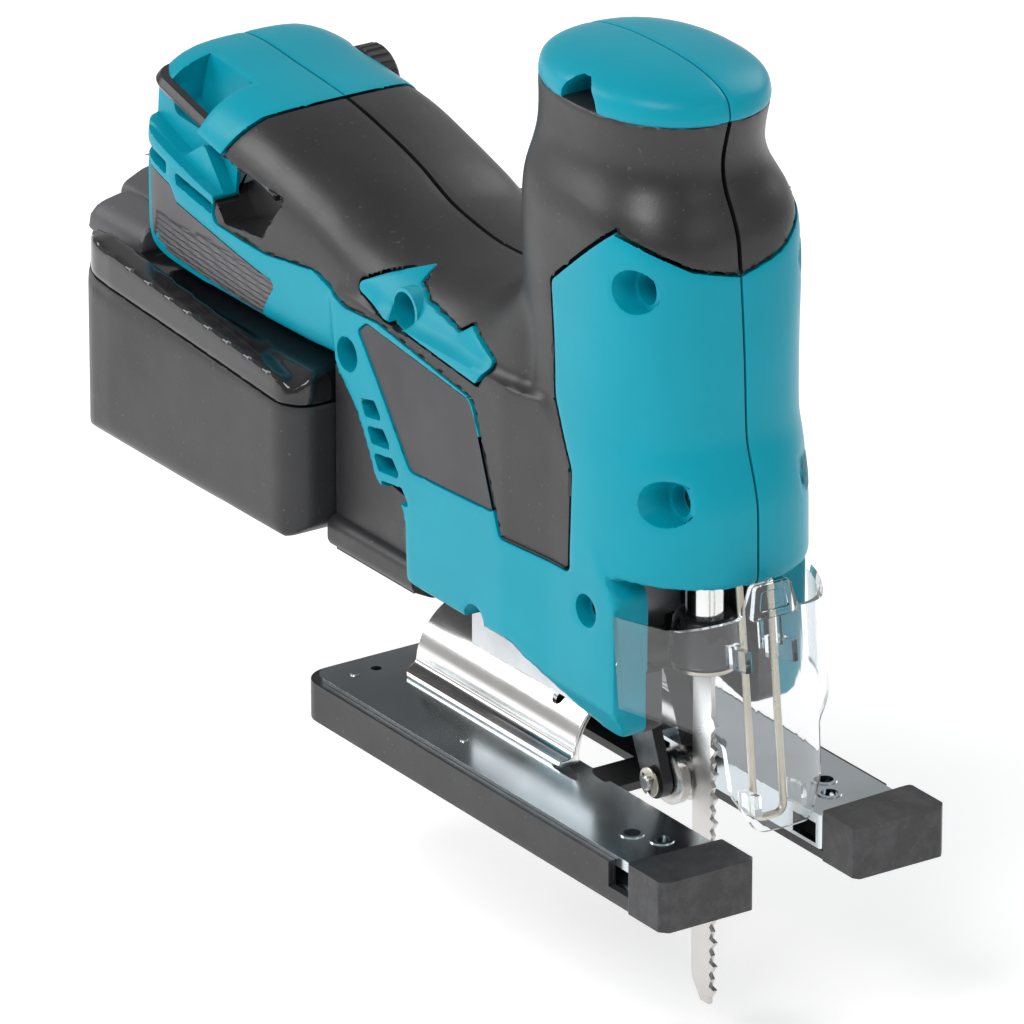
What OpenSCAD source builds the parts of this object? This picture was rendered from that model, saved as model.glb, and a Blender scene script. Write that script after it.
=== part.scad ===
// Cordless barrel-grip jigsaw.
// +X is the cutting direction, +Y the tool's left, +Z up.
// The origin is the centre of the flat underside of the sole.

/* [Base] */
// Length of the base along the cut
base_l = 150; // [130:1:190]
// Width of the base
base_w = 77; // [70:1:96]
// Height of the plate's top above the sole
plate_top = 10.5; // [9:0.5:13]
// Thickness of the pressed steel plate
plate_t = 2; // [1.5:0.1:2.4]
// Gap between the two front prongs
prong_gap = 28.5; // [26:0.5:32]
// How far the gap runs back from the front edge
gap_l = 69; // [60:1:74]
// Thickness of the plastic sole cover
shoe_t = 2; // [1.5:0.1:3]
// Height of the bevel axis above the sole
bevel_z = 12; // [11:0.5:14]
// Outer radius of the bevel hump
hump_r = 16; // [14:0.5:17]
// Tapped hole radius for accessories on the prongs
tap_r = 2; // [1.5:0.1:2.5]

/* [Blade and plunger] */
// Distance from the front edge back to the blade's centre line
blade_setback = 40; // [36:1:46]
// Width of the blade
blade_w = 7.5; // [6:0.5:9]
// Thickness of the blade
blade_t = 1.2; // [0.9:0.1:1.5]
// Full stroke of the plunger
stroke = 23; // [18:1:26]
// Diameter of the plunger rod
plunger_d = 9; // [7:0.5:11]
// Diameter of the tool-less blade clamp collar
clamp_d = 17; // [15:0.5:20]
// Radius of the grooved guide roller
roller_r = 6.5; // [5:0.5:7.5]

/* [Motor and gears] */
// Outer diameter of the motor's stator can
motor_d = 42; // [36:1:50]
// Length of the stator can
motor_l = 24; // [20:1:30]
// Motor shaft diameter
shaft_d = 5; // [4:0.5:6]
// Gear module
gear_m = 0.9; // [0.75:0.05:1]
// Teeth on the pinion
pinion_n = 9; // [8:1:11]
// Teeth on the crank gear
gear_n = 45; // [40:1:50]

/* [Housing] */
// Wall of the clamshell halves, rubber included
wall = 3.5; // [3:0.1:4.5]
// Thickness of the soft rubber on the grip
rubber_t = 1.5; // [1:0.1:2]
// Full width of the lower body
body_w = 58; // [56:1:72]
// Height of the head's top above the sole
head_top = 187; // [182:1:226]
// Height of the body's lower edge above the sole
body_bottom = 41; // [39:0.5:43]

/* [Battery] */
// Length of the battery
bat_l = 114; // [95:1:137]
// Width of the battery
bat_w = 75; // [66:1:90]
// Height of the battery's case
bat_h = 44; // [37:1:46]
// Height of the battery's top face above the sole
bat_top = 83; // [80:0.5:85]

/* [Hidden] */
$fn = 64;
eps = 0.01;
slide_gap = 0.3;       // between parts that slide on flats
seam = 0.02;            // hairline between pieces moulded or screwed together
run_gap = 0.05;        // radial clearance of a shaft in its bore

front_x = base_l / 2;
rear_x = -base_l / 2;
blade_x = front_x - blade_setback;
half_w = body_w / 2;
tower_hw = half_w - 2;             // the tower is a little slimmer than the lower body
motor_r = motor_d / 2;
shaft_r = shaft_d / 2;
plunger_r = plunger_d / 2;
clamp_r = clamp_d / 2;
crank_r = stroke / 2;
pinion_r = pinion_n * gear_m / 2;
gear_r = gear_n * gear_m / 2;
centre_gap = 0.35;                  // added to the gears' centre distance for backlash

// Heights and places along the tool
motor_z = 76;
gear_z = motor_z + pinion_r + gear_r + centre_gap;
body_rear_x = -79;                 // the battery's front face stops just behind this
bat_front_x = body_rear_x - 0.5;
bat_rear_x = bat_front_x - bat_l;
barrel_rear_x = bat_rear_x + 32.5; // leaves room for the raised tail of the battery
tower_front_x = blade_x + 21;
tower_bottom = 69;
foot_z = 28;                       // lowest point of the two front legs
neck_z = head_top - 12;
stator_x = -30;                    // rear face of the stator can
stator_front_x = stator_x + motor_l;
frame_x = stator_front_x + 1.5;    // rear face of the gear housing's upright
frame_t = 6;                       // thickness of that upright
gear_x = frame_x + frame_t + 1;    // rear face of the crank gear
gear_t = 7;
pin_end_x = gear_x + gear_t + 8;   // free end of the crank roller
yoke_x = pin_end_x + 0.5;          // the roller stops this short of the yoke
yoke_t = 4;
yoke_h = 12;                       // height of the yoke's frame
bearing_r = 8;
plunger_low = 42;                  // lower end of the plunger, at the middle of the stroke
guide_r = plunger_r - 1.5;         // slimmer guide rod above the yoke
arm_high = gear_z + max(crank_r + yoke_h / 2, gear_r + gear_m) + 2;
arm_t = 7;
guide_top = arm_high + arm_t + crank_r + 1;
blade_tip = -41.5;
blade_top = plunger_low + 10;
collar_low = plunger_low;
collar_h = 13;
arm_low = collar_low + collar_h + crank_r + 1.5;    // underside of the gear housing's lower arm
groove = 1;                        // depth of the roller's groove
roller_x = blade_x - blade_w / 2 - roller_r + groove - slide_gap;
roller_z = 11.5;
roller_w = 9;
pin_r = 1.75;
bracket_x = blade_x - 21;          // pivot of the roller bracket
bracket_z = 38;
saddle_hw = 12;                    // half width of the gear housing's foot
leg_in = 13;                       // inner face of the legs and open underside
leg_out = 22;                      // outer face of the legs at their feet
saddle_rear = -42;
saddle_front = blade_x - 27;
wire_top = [tower_front_x - 1.5, 64];
wire_tilt = 7;                     // lean of the guard wire, degrees from upright
wire_r = 0.9;
wire_y = 4;
wire_l = 51;                       // free length of the guard wire below its top point
cover_gap = 5.6;                   // from the wire's centre line to the chip cover's inner face
cover_t = 1.5;
lobe_hw = 12.5;

// Barrel: [x, bottom z, top z, half width, roundness]
BARREL = [
    [barrel_rear_x, 88, 134, half_w - 5, 3.4],
    [barrel_rear_x + 4, 84.5, 136.5, half_w - 1.5, 3.6],
    [-132, 84.5, 136.5, half_w, 3.2],
    [-110, 84.5, 134, half_w, 3],
    [-95, 84.5, 130.5, half_w - 0.5, 2.8],
    [-79, 84, 126.5, half_w - 1, 2.7],
    [-62, 80, 121.5, half_w - 1, 2.7],
    [-40, 66, 118.5, half_w - 1, 2.7],
    [-18, 60, 119.5, half_w - 1, 2.7],
    [0, 60, 126, half_w - 2, 2.7]];

// Tower: [z, rear x, front x, half width, roundness]
TOWER = [
    [tower_bottom, -16, tower_front_x, tower_hw, 4.4],
    [tower_bottom + 17, -16, tower_front_x, tower_hw, 4.2],
    [97, -17, tower_front_x - 2, tower_hw, 4],
    [103, -17, tower_front_x - 5, tower_hw - 0.5, 4],
    [neck_z - 34, -17, tower_front_x - 8, tower_hw - 1, 3.6],
    [neck_z - 25, -18, tower_front_x - 8.5, tower_hw - 1, 3.2],
    [neck_z - 17, -17.5, tower_front_x - 13, tower_hw - 2.5, 2.8],
    [neck_z - 10, -17, tower_front_x - 15, tower_hw - 4.5, 2.5],
    [neck_z, -17, tower_front_x - 12, tower_hw - 3.6, 2.4]];

// Head dome: [z, rear x, front x, half width, roundness]
DOME = [
    [neck_z, -17.5, tower_front_x - 11, tower_hw - 3.2, 2.3],
    [neck_z + 3, -17, tower_front_x - 11.2, tower_hw - 3.2, 2.3],
    [neck_z + 7, -14, tower_front_x - 15, tower_hw - 6.5, 2.3],
    [neck_z + 10, -8, tower_front_x - 22, tower_hw - 12, 2.3],
    [head_top, 3, tower_front_x - 34, 5, 2.2]];

RING_N = 28;                       // points round each ring of a loft
function spow(v, p) = sign(v) * pow(abs(v), 2 / p);
function barrel_ring(s, d) = let(zc = (s[1] + s[2]) / 2, hh = (s[2] - s[1]) / 2 - d, hw = s[3] - d)
    [for (i = [0:RING_N - 1]) let(a = 360 * i / RING_N)
        [s[0], hw * spow(cos(a), s[4]), zc + hh * spow(sin(a), s[4])]];
function tower_ring(s, d) = let(xc = (s[1] + s[2]) / 2, hl = (s[2] - s[1]) / 2 - d, hw = s[3] - d)
    [for (i = [0:RING_N - 1]) let(a = 360 * i / RING_N)
        [xc + hl * spow(cos(a), s[4]), hw * spow(sin(a), s[4]), s[0]]];

// Side outlines, as [x, z] points
LOWER_BODY = [[-63, 108], [-63, 84], [-43, 58], [-43, body_bottom], [-3, body_bottom],
    [blade_x - 14, foot_z + 2], [blade_x - 8, foot_z], [blade_x + 4, foot_z],
    [blade_x + 11, foot_z + 10], [blade_x + 13, tower_bottom + 6], [10, 112]];
RUBBER = [[-7, 68], [19, 70], [19.5, 92], [12.5, 107], [8.5, neck_z - 40], [33, neck_z - 21],
    [47, neck_z - 30], [tower_front_x - 8, neck_z - 34], [tower_front_x + 9, neck_z - 34],
    [tower_front_x + 9, neck_z], [-40, neck_z], [barrel_rear_x + 53, 150], [barrel_rear_x + 50, 134],
    [barrel_rear_x + 37, 120], [barrel_rear_x + 36, 104.5],
    [-97.5, 99.5], [-72, 108], [-50, 117], [-24, 110], [-15, 98]];
// Plan outline of the lower body, right half as [x, y], and its section at the feet as [y, z]
LOWER_PLAN = [[-100, half_w], [-5, half_w], [12, tower_hw], [30, tower_hw - 0.5],
    [38, tower_hw - 1.5], [blade_x + 20, tower_hw - 1.5]];
LOWER_SECTION = [[leg_out, foot_z], [half_w, body_bottom], [half_w, 120]];
function mirrored(p) = concat(p, [for (i = [len(p) - 1:-1:0]) [p[i][0], -p[i][1]]]);
function mirrored_y(p) = concat(p, [for (i = [len(p) - 1:-1:0]) [-p[i][0], p[i][1]]]);

// Solid from a side outline, width wide, centred on the middle plane
module side_slab(points, width) {
    rotate([90, 0, 0]) linear_extrude(height = width, center = true) polygon(points);
}
// Solid along X from a section outline of [y, z] points
module section_slab(points, x0, x1) {
    translate([x0, 0, 0]) rotate([90, 0, 90]) linear_extrude(height = x1 - x0) polygon(points);
}
module rod_x(x0, x1, r) { translate([x0, 0, 0]) rotate([0, 90, 0]) cylinder(r = r, h = x1 - x0); }
module rod_y(y0, y1, r) { translate([0, y0, 0]) rotate([-90, 0, 0]) cylinder(r = r, h = y1 - y0); }
module rod_z(z0, z1, r) { translate([0, 0, z0]) cylinder(r = r, h = z1 - z0); }
module ring_x(x0, x1, r, bore) {
    difference() { rod_x(x0, x1, r); rod_x(x0 - 1, x1 + 1, bore); }
}
module at_motor() { translate([0, 0, motor_z]) children(); }
module at_gear() { translate([0, 0, gear_z]) children(); }
module at_blade() { translate([blade_x, 0, 0]) children(); }
module at_bracket() { translate([bracket_x, 0, bracket_z]) children(); }
module at_roller() { translate([roller_x, 0, roller_z]) children(); }
// The guard wire's own frame: z runs up the wire
module on_wire() { translate([wire_top[0], 0, wire_top[1]]) rotate([0, -wire_tilt, 0]) children(); }

// Skins a list of rings, each with RING_N points, into one closed solid
module loft(rings) {
    n = len(rings);
    sides = [for (j = [0:n - 2], i = [0:RING_N - 1]) let(k = (i + 1) % RING_N)
        each [[j * RING_N + i, (j + 1) * RING_N + i, (j + 1) * RING_N + k],
            [j * RING_N + i, (j + 1) * RING_N + k, j * RING_N + k]]];
    first_cap = [[for (i = [0:RING_N - 1]) i]];
    last_cap = [[for (i = [RING_N - 1:-1:0]) (n - 1) * RING_N + i]];
    polyhedron([for (r = rings) each r], concat(sides, first_cap, last_cap));
}
module barrel_solid(d) { loft([for (s = BARREL) barrel_ring(s, d)]); }
module tower_solid(d) { loft([for (s = TOWER) tower_ring(s, d)]); }
module dome_solid() { loft([for (s = DOME) tower_ring(s, 0)]); }
module lower_body_solid(d) {
    intersection() {
        side_slab(LOWER_BODY, body_w);
        linear_extrude(height = 130) polygon(mirrored([for (p = LOWER_PLAN) [p[0], p[1] - d]]));
        section_slab(mirrored_y([for (p = LOWER_SECTION) [p[0] - d, p[1]]]), -100, 100);
    }
}
module body_solid(d) {
    barrel_solid(d);
    tower_solid(d);
    lower_body_solid(d);
}

// ---- Housing ----
// [x, z, y of the far end]
SCREWS = [[-66.6, 92, 20], [-45, 108, 20], [40, neck_z - 38, 20], [44, 84, 20], [26, 58.6, -18]];
SCREW_R = 1.6;
SCREW_HEAD = 3.1;
chamber_front = tower_front_x - 8.5 - wall;
module cavity() {
    at_motor() {
        rod_x(stator_x, frame_x + 1, motor_r + run_gap);
        rod_x(stator_x - 11, stator_x + 1, motor_r - 2);
        rod_x(stator_x - 17, stator_x - 10, bearing_r - 1);
    }
    // chamber for the controller and the terminals
    translate([barrel_rear_x + 8, -20, 88]) cube([66, 40, 40]);
    // wiring space through the grip
    translate([-90, -12, 100]) cube([50, 24, 12]);
    // gear chamber and the space in the neck
    translate([frame_x, -(tower_hw - wall), arm_low - 2])
        cube([chamber_front - frame_x, 2 * (tower_hw - wall), arm_high + arm_t + 3 - arm_low]);
    translate([-6, -14, arm_high]) cube([blade_x + guide_r + 6.5, 28, guide_top + crank_r + 3 - arm_high]);
    // open underside between the legs
    translate([-44, -leg_in, 0]) cube([blade_x + 80, 2 * leg_in, arm_low + 1]);
    translate([saddle_front + 2, -leg_in - 4, 45]) cube([60, 2 * leg_in + 8, arm_low + 1 - 45]);
}
module air_slots(side) {
    for (p = [[barrel_rear_x + 9, 111], [barrel_rear_x + 29, 107.5]])
        translate([p[0], side * half_w, p[1]]) cube([14, 20, 2.6], center = true);
    for (i = [0:3])
        translate([-54 + 2.4 * i, side * half_w, 80 - 5 * i]) cube([9, 20, 2], center = true);
}
module vent_cover_outline() {
    polygon([[barrel_rear_x + 3, 113], [barrel_rear_x + 18, 105.5], [-97.5, 97.8], [-109, 86],
        [barrel_rear_x + 7, 86]]);
}
module housing(side) {
    difference() {
        intersection() {
            union() { body_solid(0); dome_solid(); }
            half_space(side);
        }
        intersection() { side_slab(RUBBER, 2 * half_w + 8); rubber_layer(seam); }
        cavity();
        for (p = SCREWS) translate([p[0], 0, p[1]]) {
            rod_y(-half_w - 9, -tower_hw + 7, SCREW_HEAD + 0.3);
            rod_y(-half_w, p[2] + 1, SCREW_R + run_gap);
        }
        air_slots(side);
        translate([0, side * (half_w - 1.2) - (side > 0 ? 0 : 9), 0])
            rotate([90, 0, 0]) mirror([0, 0, 1]) linear_extrude(height = 9) vent_cover_outline();
        if (side < 0) {
            nameplate_cut();
            wrench_groove();
        }
        if (side > 0) {
            switch_cuts();
            dial_place() rod_y(-3, 12, dial_r + slide_gap);
            orbit_place() rod_y(0, 60, orbit_shaft_r + run_gap);
        }
        on_wire() for (y = [-wire_y, wire_y]) translate([0, y, 0]) rod_z(-1, 13, wire_r + run_gap);
    }
}
module half_space(side) {
    translate([-240, side > 0 ? seam : -80 - seam, -20]) cube([400, 80, 280]);
}
module rubber_layer(gap = 0) {
    difference() {
        translate([-200, -60, 40]) cube([300, 120, neck_z - 40]);
        barrel_solid(rubber_t + gap);
        tower_solid(rubber_t + gap);
        lower_body_solid(rubber_t + gap);
    }
}
module grip(side) {
    difference() {
        intersection() {
            body_solid(0);
            side_slab(RUBBER, 2 * half_w + 8);
            half_space(side);
            rubber_layer();
        }
        for (p = SCREWS) translate([p[0], 0, p[1]]) rod_y(-half_w - 9, 0, SCREW_HEAD + 0.3);
        if (side < 0) wrench_groove();
        if (side > 0) switch_cuts();
    }
}
module housing_right() { color("teal") housing(-1); }
module housing_left() { color("teal") housing(1); }
module grip_right() { color([0.16, 0.16, 0.17]) grip(-1); }
module grip_left() { color([0.16, 0.16, 0.17]) grip(1); }
module housing_screws() {
    color("dimgray") for (p = SCREWS) translate([p[0], 0, p[1]]) {
        difference() {
            rod_y(-tower_hw + 7 - 3, -tower_hw + 7, SCREW_HEAD);
            translate([0, -tower_hw + 3, 0]) {
                cube([3.6, 3, 0.9], center = true);
                cube([0.9, 3, 3.6], center = true);
            }
        }
        rod_y(-tower_hw + 7 - eps, p[2], SCREW_R);
    }
}
NAMEPLATE = [[-58, 98], [-18, 95], [-9.5, 71], [-41, 73]];
nameplate_t = 1;
module nameplate_cut() {
    translate([0, -half_w + 1.4, 0]) rotate([90, 0, 0]) linear_extrude(height = 12) polygon(NAMEPLATE);
}
module nameplate() {
    color([0.2, 0.2, 0.22]) translate([0, -half_w + 1.4, 0]) rotate([90, 0, 0])
        linear_extrude(height = nameplate_t) polygon(NAMEPLATE);
}
rib_end_x = -103;
module vent_cover(side) {
    color([0.35, 0.35, 0.37]) difference() {
        translate([0, side * (half_w - 1.2) - (side > 0 ? 0 : 2), 0])
            rotate([90, 0, 0]) mirror([0, 0, 1]) linear_extrude(height = 2) vent_cover_outline();
        for (i = [0:4]) translate([(barrel_rear_x + rib_end_x) / 2 + i * 1.5, side * (half_w + 0.8), 89 + i * 3])
            cube([rib_end_x - barrel_rear_x - 16 - i * 2, 1, 1], center = true);
    }
}
module vent_cover_right() { vent_cover(-1); }
module vent_cover_left() { vent_cover(1); }

// Hex wrench, stowed in a sloping groove on the right
wrench_af = 3.5;
wrench_l = 56;
wrench_tilt = 14;
module wrench_place() { translate([barrel_rear_x + 4, -24.5, 131]) rotate([0, wrench_tilt, 0]) children(); }
module hex_wrench() {
    color([0.12, 0.12, 0.13]) wrench_place() {
        translate([-1, 0, 0]) rotate([0, 90, 0]) rotate([0, 0, 30])
            cylinder(r = wrench_af / sqrt(3), h = wrench_l + 1, $fn = 6);
        translate([1, 0, 0]) rotate([-90, 0, 0]) cylinder(r = wrench_af / sqrt(3) - 0.1, h = 16, $fn = 6);
    }
}
module wrench_groove() {
    wrench_place() {
        rod_x(-50, wrench_l + 0.5, wrench_af / sqrt(3) + 0.4);
        translate([-50, -12, -0.2]) cube([wrench_l + 44, 12, 2]);
        translate([-50, -12, -2.6]) cube([68, 33, 14]);
    }
}
// Black cover under the rear of the body, in front of the battery
module lower_cover() {
    color([0.13, 0.13, 0.14]) difference() {
        section_slab([[-28, 46], [-28, 38.5], [-22, 36], [22, 36], [28, 38.5], [28, 46]], body_rear_x - 4, -43.2);
        translate([body_rear_x - 5, -25, 39]) cube([33, 50, 10]);
        translate([body_rear_x - 5, -40, 38 - slide_gap]) cube([5 + slide_gap, 80, 20]);
    }
}
// Slide switch on the left of the grip
switch_x = -66;
switch_z = 111;
switch_travel = 6;
module switch_place() { translate([switch_x, half_w - 9, switch_z]) children(); }
module switch_cuts() {
    switch_place() {
        translate([-12, -1.5, -5.3]) cube([30, 6.5, 10.6]);
        translate([-3.5, 0, -3.3]) cube([7 + switch_travel, 20, 6.6]);
    }
}
module slide_switch() {
    color([0.1, 0.1, 0.1]) switch_place() difference() {
        union() {
            translate([-3, 2.8, -3]) cube([6, 8, 6]);
            translate([-9, 9.7, -6]) cube([18, 3, 12]);
        }
        for (i = [-3:3]) translate([i * 2.4 - 0.4, 12, -5]) cube([0.8, 2, 10]);
    }
}
module switch_unit() {
    color([0.25, 0.25, 0.27]) switch_place() translate([-11.5, -1, -5]) cube([29, 3.5, 10]);
}
// Speed dial on the left, near the rear
dial_r = 9;
module dial_place() { translate([barrel_rear_x + 21, half_w - 5, 124]) children(); }
module speed_dial() {
    color([0.1, 0.1, 0.1]) dial_place() difference() {
        rod_y(-2, 4, dial_r);
        for (a = [0:30:330]) rotate([0, a, 0]) translate([dial_r, -3, 0]) rod_y(0, 8, 0.9, $fn = 16);
        translate([-1, 3, 2]) cube([2, 2, 6]);
    }
}
module controller() {
    color([0.1, 0.35, 0.15]) difference() {
        translate([barrel_rear_x + 13, -18, 106]) cube([42, 36, 12]);
        translate([barrel_rear_x + 15, -16, 108]) cube([38, 32, 11]);
    }
}
module terminal_block() {
    color([0.15, 0.15, 0.16]) difference() {
        translate([-112, -16, 88]) cube([20, 32, 12]);
        for (y = [-12, 11]) translate([-113, y, 87.9]) cube([16, 1.2, 8]);
    }
}

// ---- Motor and gears ----
module motor_stator() {
    color("silver") at_motor() difference() {
        rod_x(stator_x, stator_front_x, motor_r);
        rod_x(stator_x - 1, stator_front_x + 1, motor_r - 7);
    }
}
module rotor() {
    color([0.6, 0.6, 0.62]) at_motor() {
        rod_x(stator_x - 16, gear_x + gear_t + 1, shaft_r);
        rod_x(stator_x + 1.5, stator_front_x - 1.5, motor_r - 8);
    }
}
module fan() {
    color([0.2, 0.2, 0.2]) at_motor() difference() {
        union() {
            rod_x(stator_x - 3.2, stator_x - 2, motor_r - 3.5);
            rod_x(stator_x - 9, stator_x - 2, 5);
            for (a = [0:36:324]) rotate([a, 0, 0]) translate([stator_x - 9, 4, -0.5]) cube([6.5, motor_r - 9, 1]);
        }
        rod_x(stator_x - 12, stator_x, shaft_r);
    }
}
module rear_bearing() { color("silver") at_motor() ring_x(stator_x - 16.5, stator_x - 12, bearing_r - 1, shaft_r + run_gap); }
module front_bearing() { color("silver") at_motor() ring_x(frame_x + 0.5, frame_x + frame_t, bearing_r, shaft_r + run_gap); }
// Spur wheel in the YZ plane with teeth slim enough to run free; phase turns it
module toothed(n, thick, phase) {
    pitch_r = n * gear_m / 2;
    foot = 360 / n * 0.26;
    tip = 360 / n * 0.11;
    root_r = pitch_r - 1.2 * gear_m;
    tip_r = pitch_r + 0.85 * gear_m;
    points = [for (i = [0:n - 1]) let(a = 360 * i / n + phase) each [
        root_r * [cos(a - foot), sin(a - foot)], tip_r * [cos(a - tip), sin(a - tip)],
        tip_r * [cos(a + tip), sin(a + tip)], root_r * [cos(a + foot), sin(a + foot)]]];
    rotate([90, 0, 90]) linear_extrude(height = thick) polygon(points);
}
module pinion() {
    color([0.5, 0.5, 0.52]) at_motor() difference() {
        translate([gear_x - 0.5, 0, 0]) toothed(pinion_n, gear_t + 1, 90);
        rod_x(gear_x - 2, gear_x + gear_t + 2, shaft_r);
    }
}
module crank_gear() {
    color([0.55, 0.55, 0.5]) at_gear() difference() {
        union() {
            translate([gear_x, 0, 0]) toothed(gear_n, gear_t, 90 + (gear_n % 2 == 0 ? 180 / gear_n : 0));
            translate([0, crank_r, 0]) rod_x(gear_x, gear_x + gear_t + 1, 5);
        }
        rod_x(gear_x - 1, gear_x + 4, 4);
        translate([0, crank_r, 0]) rod_x(gear_x + 2, gear_x + gear_t + 2, 2.5);
        translate([0, -crank_r, 0]) rod_x(gear_x - 1, gear_x + gear_t + 1, 4);
    }
}
module gear_shaft() { color("silver") at_gear() rod_x(frame_x + 0.2, gear_x + 4, 4); }
module gear_bearing() { color("silver") at_gear() ring_x(frame_x + 0.5, frame_x + frame_t, bearing_r, 4 + run_gap); }
module crank_roller() {
    color("silver") at_gear() translate([0, crank_r, 0]) {
        rod_x(gear_x + 2, pin_end_x - 0.5, 2.5);
        rod_x(gear_x + gear_t + 2, pin_end_x, 3.5);
    }
}
module gear_housing() {
    color([0.72, 0.72, 0.73]) difference() {
        union() {
            translate([frame_x, -20, arm_low]) cube([frame_t, 40, arm_high + arm_t - arm_low]);
            translate([frame_x, -9, arm_high]) cube([blade_x + 7 - frame_x, 18, arm_t]);
            translate([frame_x, -11, arm_low]) cube([blade_x + 9 - frame_x, 22, arm_t]);
            translate([saddle_rear, -saddle_hw, bevel_z]) cube([saddle_front - saddle_rear, 2 * saddle_hw, arm_low - 12 - bevel_z]);
            translate([-9, -saddle_hw, bevel_z + 20]) cube([saddle_front + 9, 2 * saddle_hw, arm_low - bevel_z - 20 + eps]);
            for (s = [-1, 1]) translate([saddle_front - 1, s * (saddle_hw - 2) - 2, bracket_z - 5])
                cube([bracket_x + 5 - saddle_front + 1, 4, 12]);
        }
        translate([0, 0, bevel_z]) rod_x(saddle_rear - 1, saddle_front + 1, hump_r + slide_gap);
        at_motor() rod_x(frame_x - 1, gear_x, bearing_r + eps);
        at_gear() rod_x(frame_x - 1, gear_x, bearing_r + eps);
        at_motor() rod_x(frame_x, gear_x + gear_t + 3, pinion_r + gear_m + 1);
        at_blade() rod_z(arm_low - 1, arm_low + arm_t + 1, plunger_r + 2.5);
        at_blade() rod_z(arm_high - 1, arm_high + arm_t + 1, guide_r + 2.5);
        at_bracket() rod_y(-20, 20, 2.5);
        translate([clamp_x, 0, 0]) rod_z(bevel_z, bevel_z + 33, 3 + eps);
        at_motor() rod_x(stator_x - 20, frame_x, motor_r + 0.5);
    }
}
module bush(z, r) {
    color([0.75, 0.6, 0.35]) at_blade() difference() {
        rod_z(z, z + arm_t, r + 2.5);
        rod_z(z - 1, z + arm_t + 1, r + run_gap);
    }
}
module upper_bush() { bush(arm_high, guide_r); }
module lower_bush() { bush(arm_low, plunger_r); }

// ---- Plunger, blade and clamp ----
module plunger() {
    color("silver") at_blade() difference() {
        union() {
            rod_z(plunger_low, gear_z + yoke_h / 2, plunger_r);
            rod_z(gear_z + yoke_h / 2 - eps, guide_top, guide_r);
        }
        translate([-blade_w / 2 - 1, -blade_t / 2 - 0.05, plunger_low - 1]) cube([blade_w + 2, blade_t + 0.1, 11.1]);
        translate([-plunger_r - 1, -3, gear_z - 4]) cube([3, 6, 8]);
    }
}
module yoke() {
    color([0.6, 0.6, 0.62]) at_gear() difference() {
        union() {
            translate([yoke_x, -crank_r - 7, -yoke_h / 2]) cube([yoke_t, 2 * crank_r + 14, yoke_h]);
            translate([yoke_x + yoke_t - eps, -3, -4]) cube([blade_x - plunger_r + 2 - yoke_x - yoke_t, 6, 8]);
        }
        translate([yoke_x - 1, -crank_r - 4, -3.7]) cube([yoke_t, 2 * crank_r + 8, 7.4]);
    }
}
module clamp_collar() {
    color([0.1, 0.1, 0.11]) at_blade() difference() {
        union() {
            rotate_extrude() polygon([[plunger_r + run_gap, collar_low + 1.5], [clamp_r - 0.6, collar_low + 1.5],
                [clamp_r, collar_low + 3], [clamp_r - 1.5, collar_low + collar_h],
                [plunger_r + run_gap, collar_low + collar_h]]);
            translate([-clamp_r - 3.5, -3, collar_low + 5]) cube([7, 6, 5]);
        }
        rod_z(collar_low, collar_low + collar_h + 1, plunger_r + run_gap);
    }
}
module clamp_spring() {
    color([0.75, 0.68, 0.55]) at_blade() difference() {
        rod_z(collar_low, collar_low + 1.2, clamp_r - 1);
        rod_z(collar_low - 1, collar_low + 2, plunger_r + eps);
    }
}
TOOTH = 3;
module blade() {
    tooth_n = floor((32 - blade_tip) / TOOTH) - 1;
    outline = concat(
        [[-blade_w / 2, blade_top], [-blade_w / 2, blade_tip + 5], [0, blade_tip], [blade_w / 2 - 1.4, blade_tip]],
        [for (i = [0:tooth_n - 1]) each [[blade_w / 2 - 1.4, blade_tip + 1.5 + TOOTH * i],
            [blade_w / 2, blade_tip + 1.5 + TOOTH * i + TOOTH * 0.75]]],
        [[blade_w / 2 - 1.2, 33], [blade_w / 2 - 1.2, blade_top]]);
    color([0.85, 0.85, 0.86]) at_blade() side_slab(outline, blade_t);
}

// ---- Roller and orbit ----
// Outline of a link between two points: half a circle round each, joined by straight sides
function link(a, ra, b, rb) = let(d = atan2(b[1] - a[1], b[0] - a[0])) concat(
    [for (t = [90:20:270]) a + ra * [cos(d + t), sin(d + t)]],
    [for (t = [-90:20:90]) b + rb * [cos(d + t), sin(d + t)]]);
module roller_bracket() {
    arm = link([bracket_x, bracket_z], 5, [roller_x, roller_z], 4.2);
    color([0.12, 0.12, 0.13]) difference() {
        union() {
            for (y = [-6.15, 6.15]) translate([0, y, 0]) side_slab(arm, 2.7);
            at_bracket() rod_y(-5, 5, 4.6);
        }
        at_bracket() rod_y(-12, 12, 2.5 + run_gap);
        at_roller() rod_y(-12, 12, pin_r + eps);
    }
}
module bracket_pin() { color("silver") at_bracket() rod_y(-12, 12, 2.5); }
module guide_roller() {
    hw = roller_w / 2;
    color("silver") at_roller() rotate([90, 0, 0]) rotate_extrude()
        polygon([[pin_r + run_gap, -hw], [roller_r - 0.8, -hw], [roller_r, -hw + 0.8], [roller_r, -1.3],
            [roller_r - groove, -1.1], [roller_r - groove, 1.1], [roller_r, 1.3], [roller_r, hw - 0.8],
            [roller_r - 0.8, hw], [pin_r + run_gap, hw]]);
}
module roller_pin() {
    color("silver") at_roller() difference() {
        union() { rod_y(-10, 8, pin_r); rod_y(7.6, 8.6, pin_r + 1); }
        rotate([90, 0, 0]) rotate_extrude() translate([pin_r - 0.4, 8.2]) square([2, 0.8]);
    }
}
module retaining_clip() {
    color([0.7, 0.66, 0.55]) at_roller() difference() {
        rod_y(-8.9, -8.3, pin_r + 1.8);
        rod_y(-10, -7, pin_r - 0.35);
        translate([-1.2, -10, -8]) cube([2.4, 4, 8]);
    }
}
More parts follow.
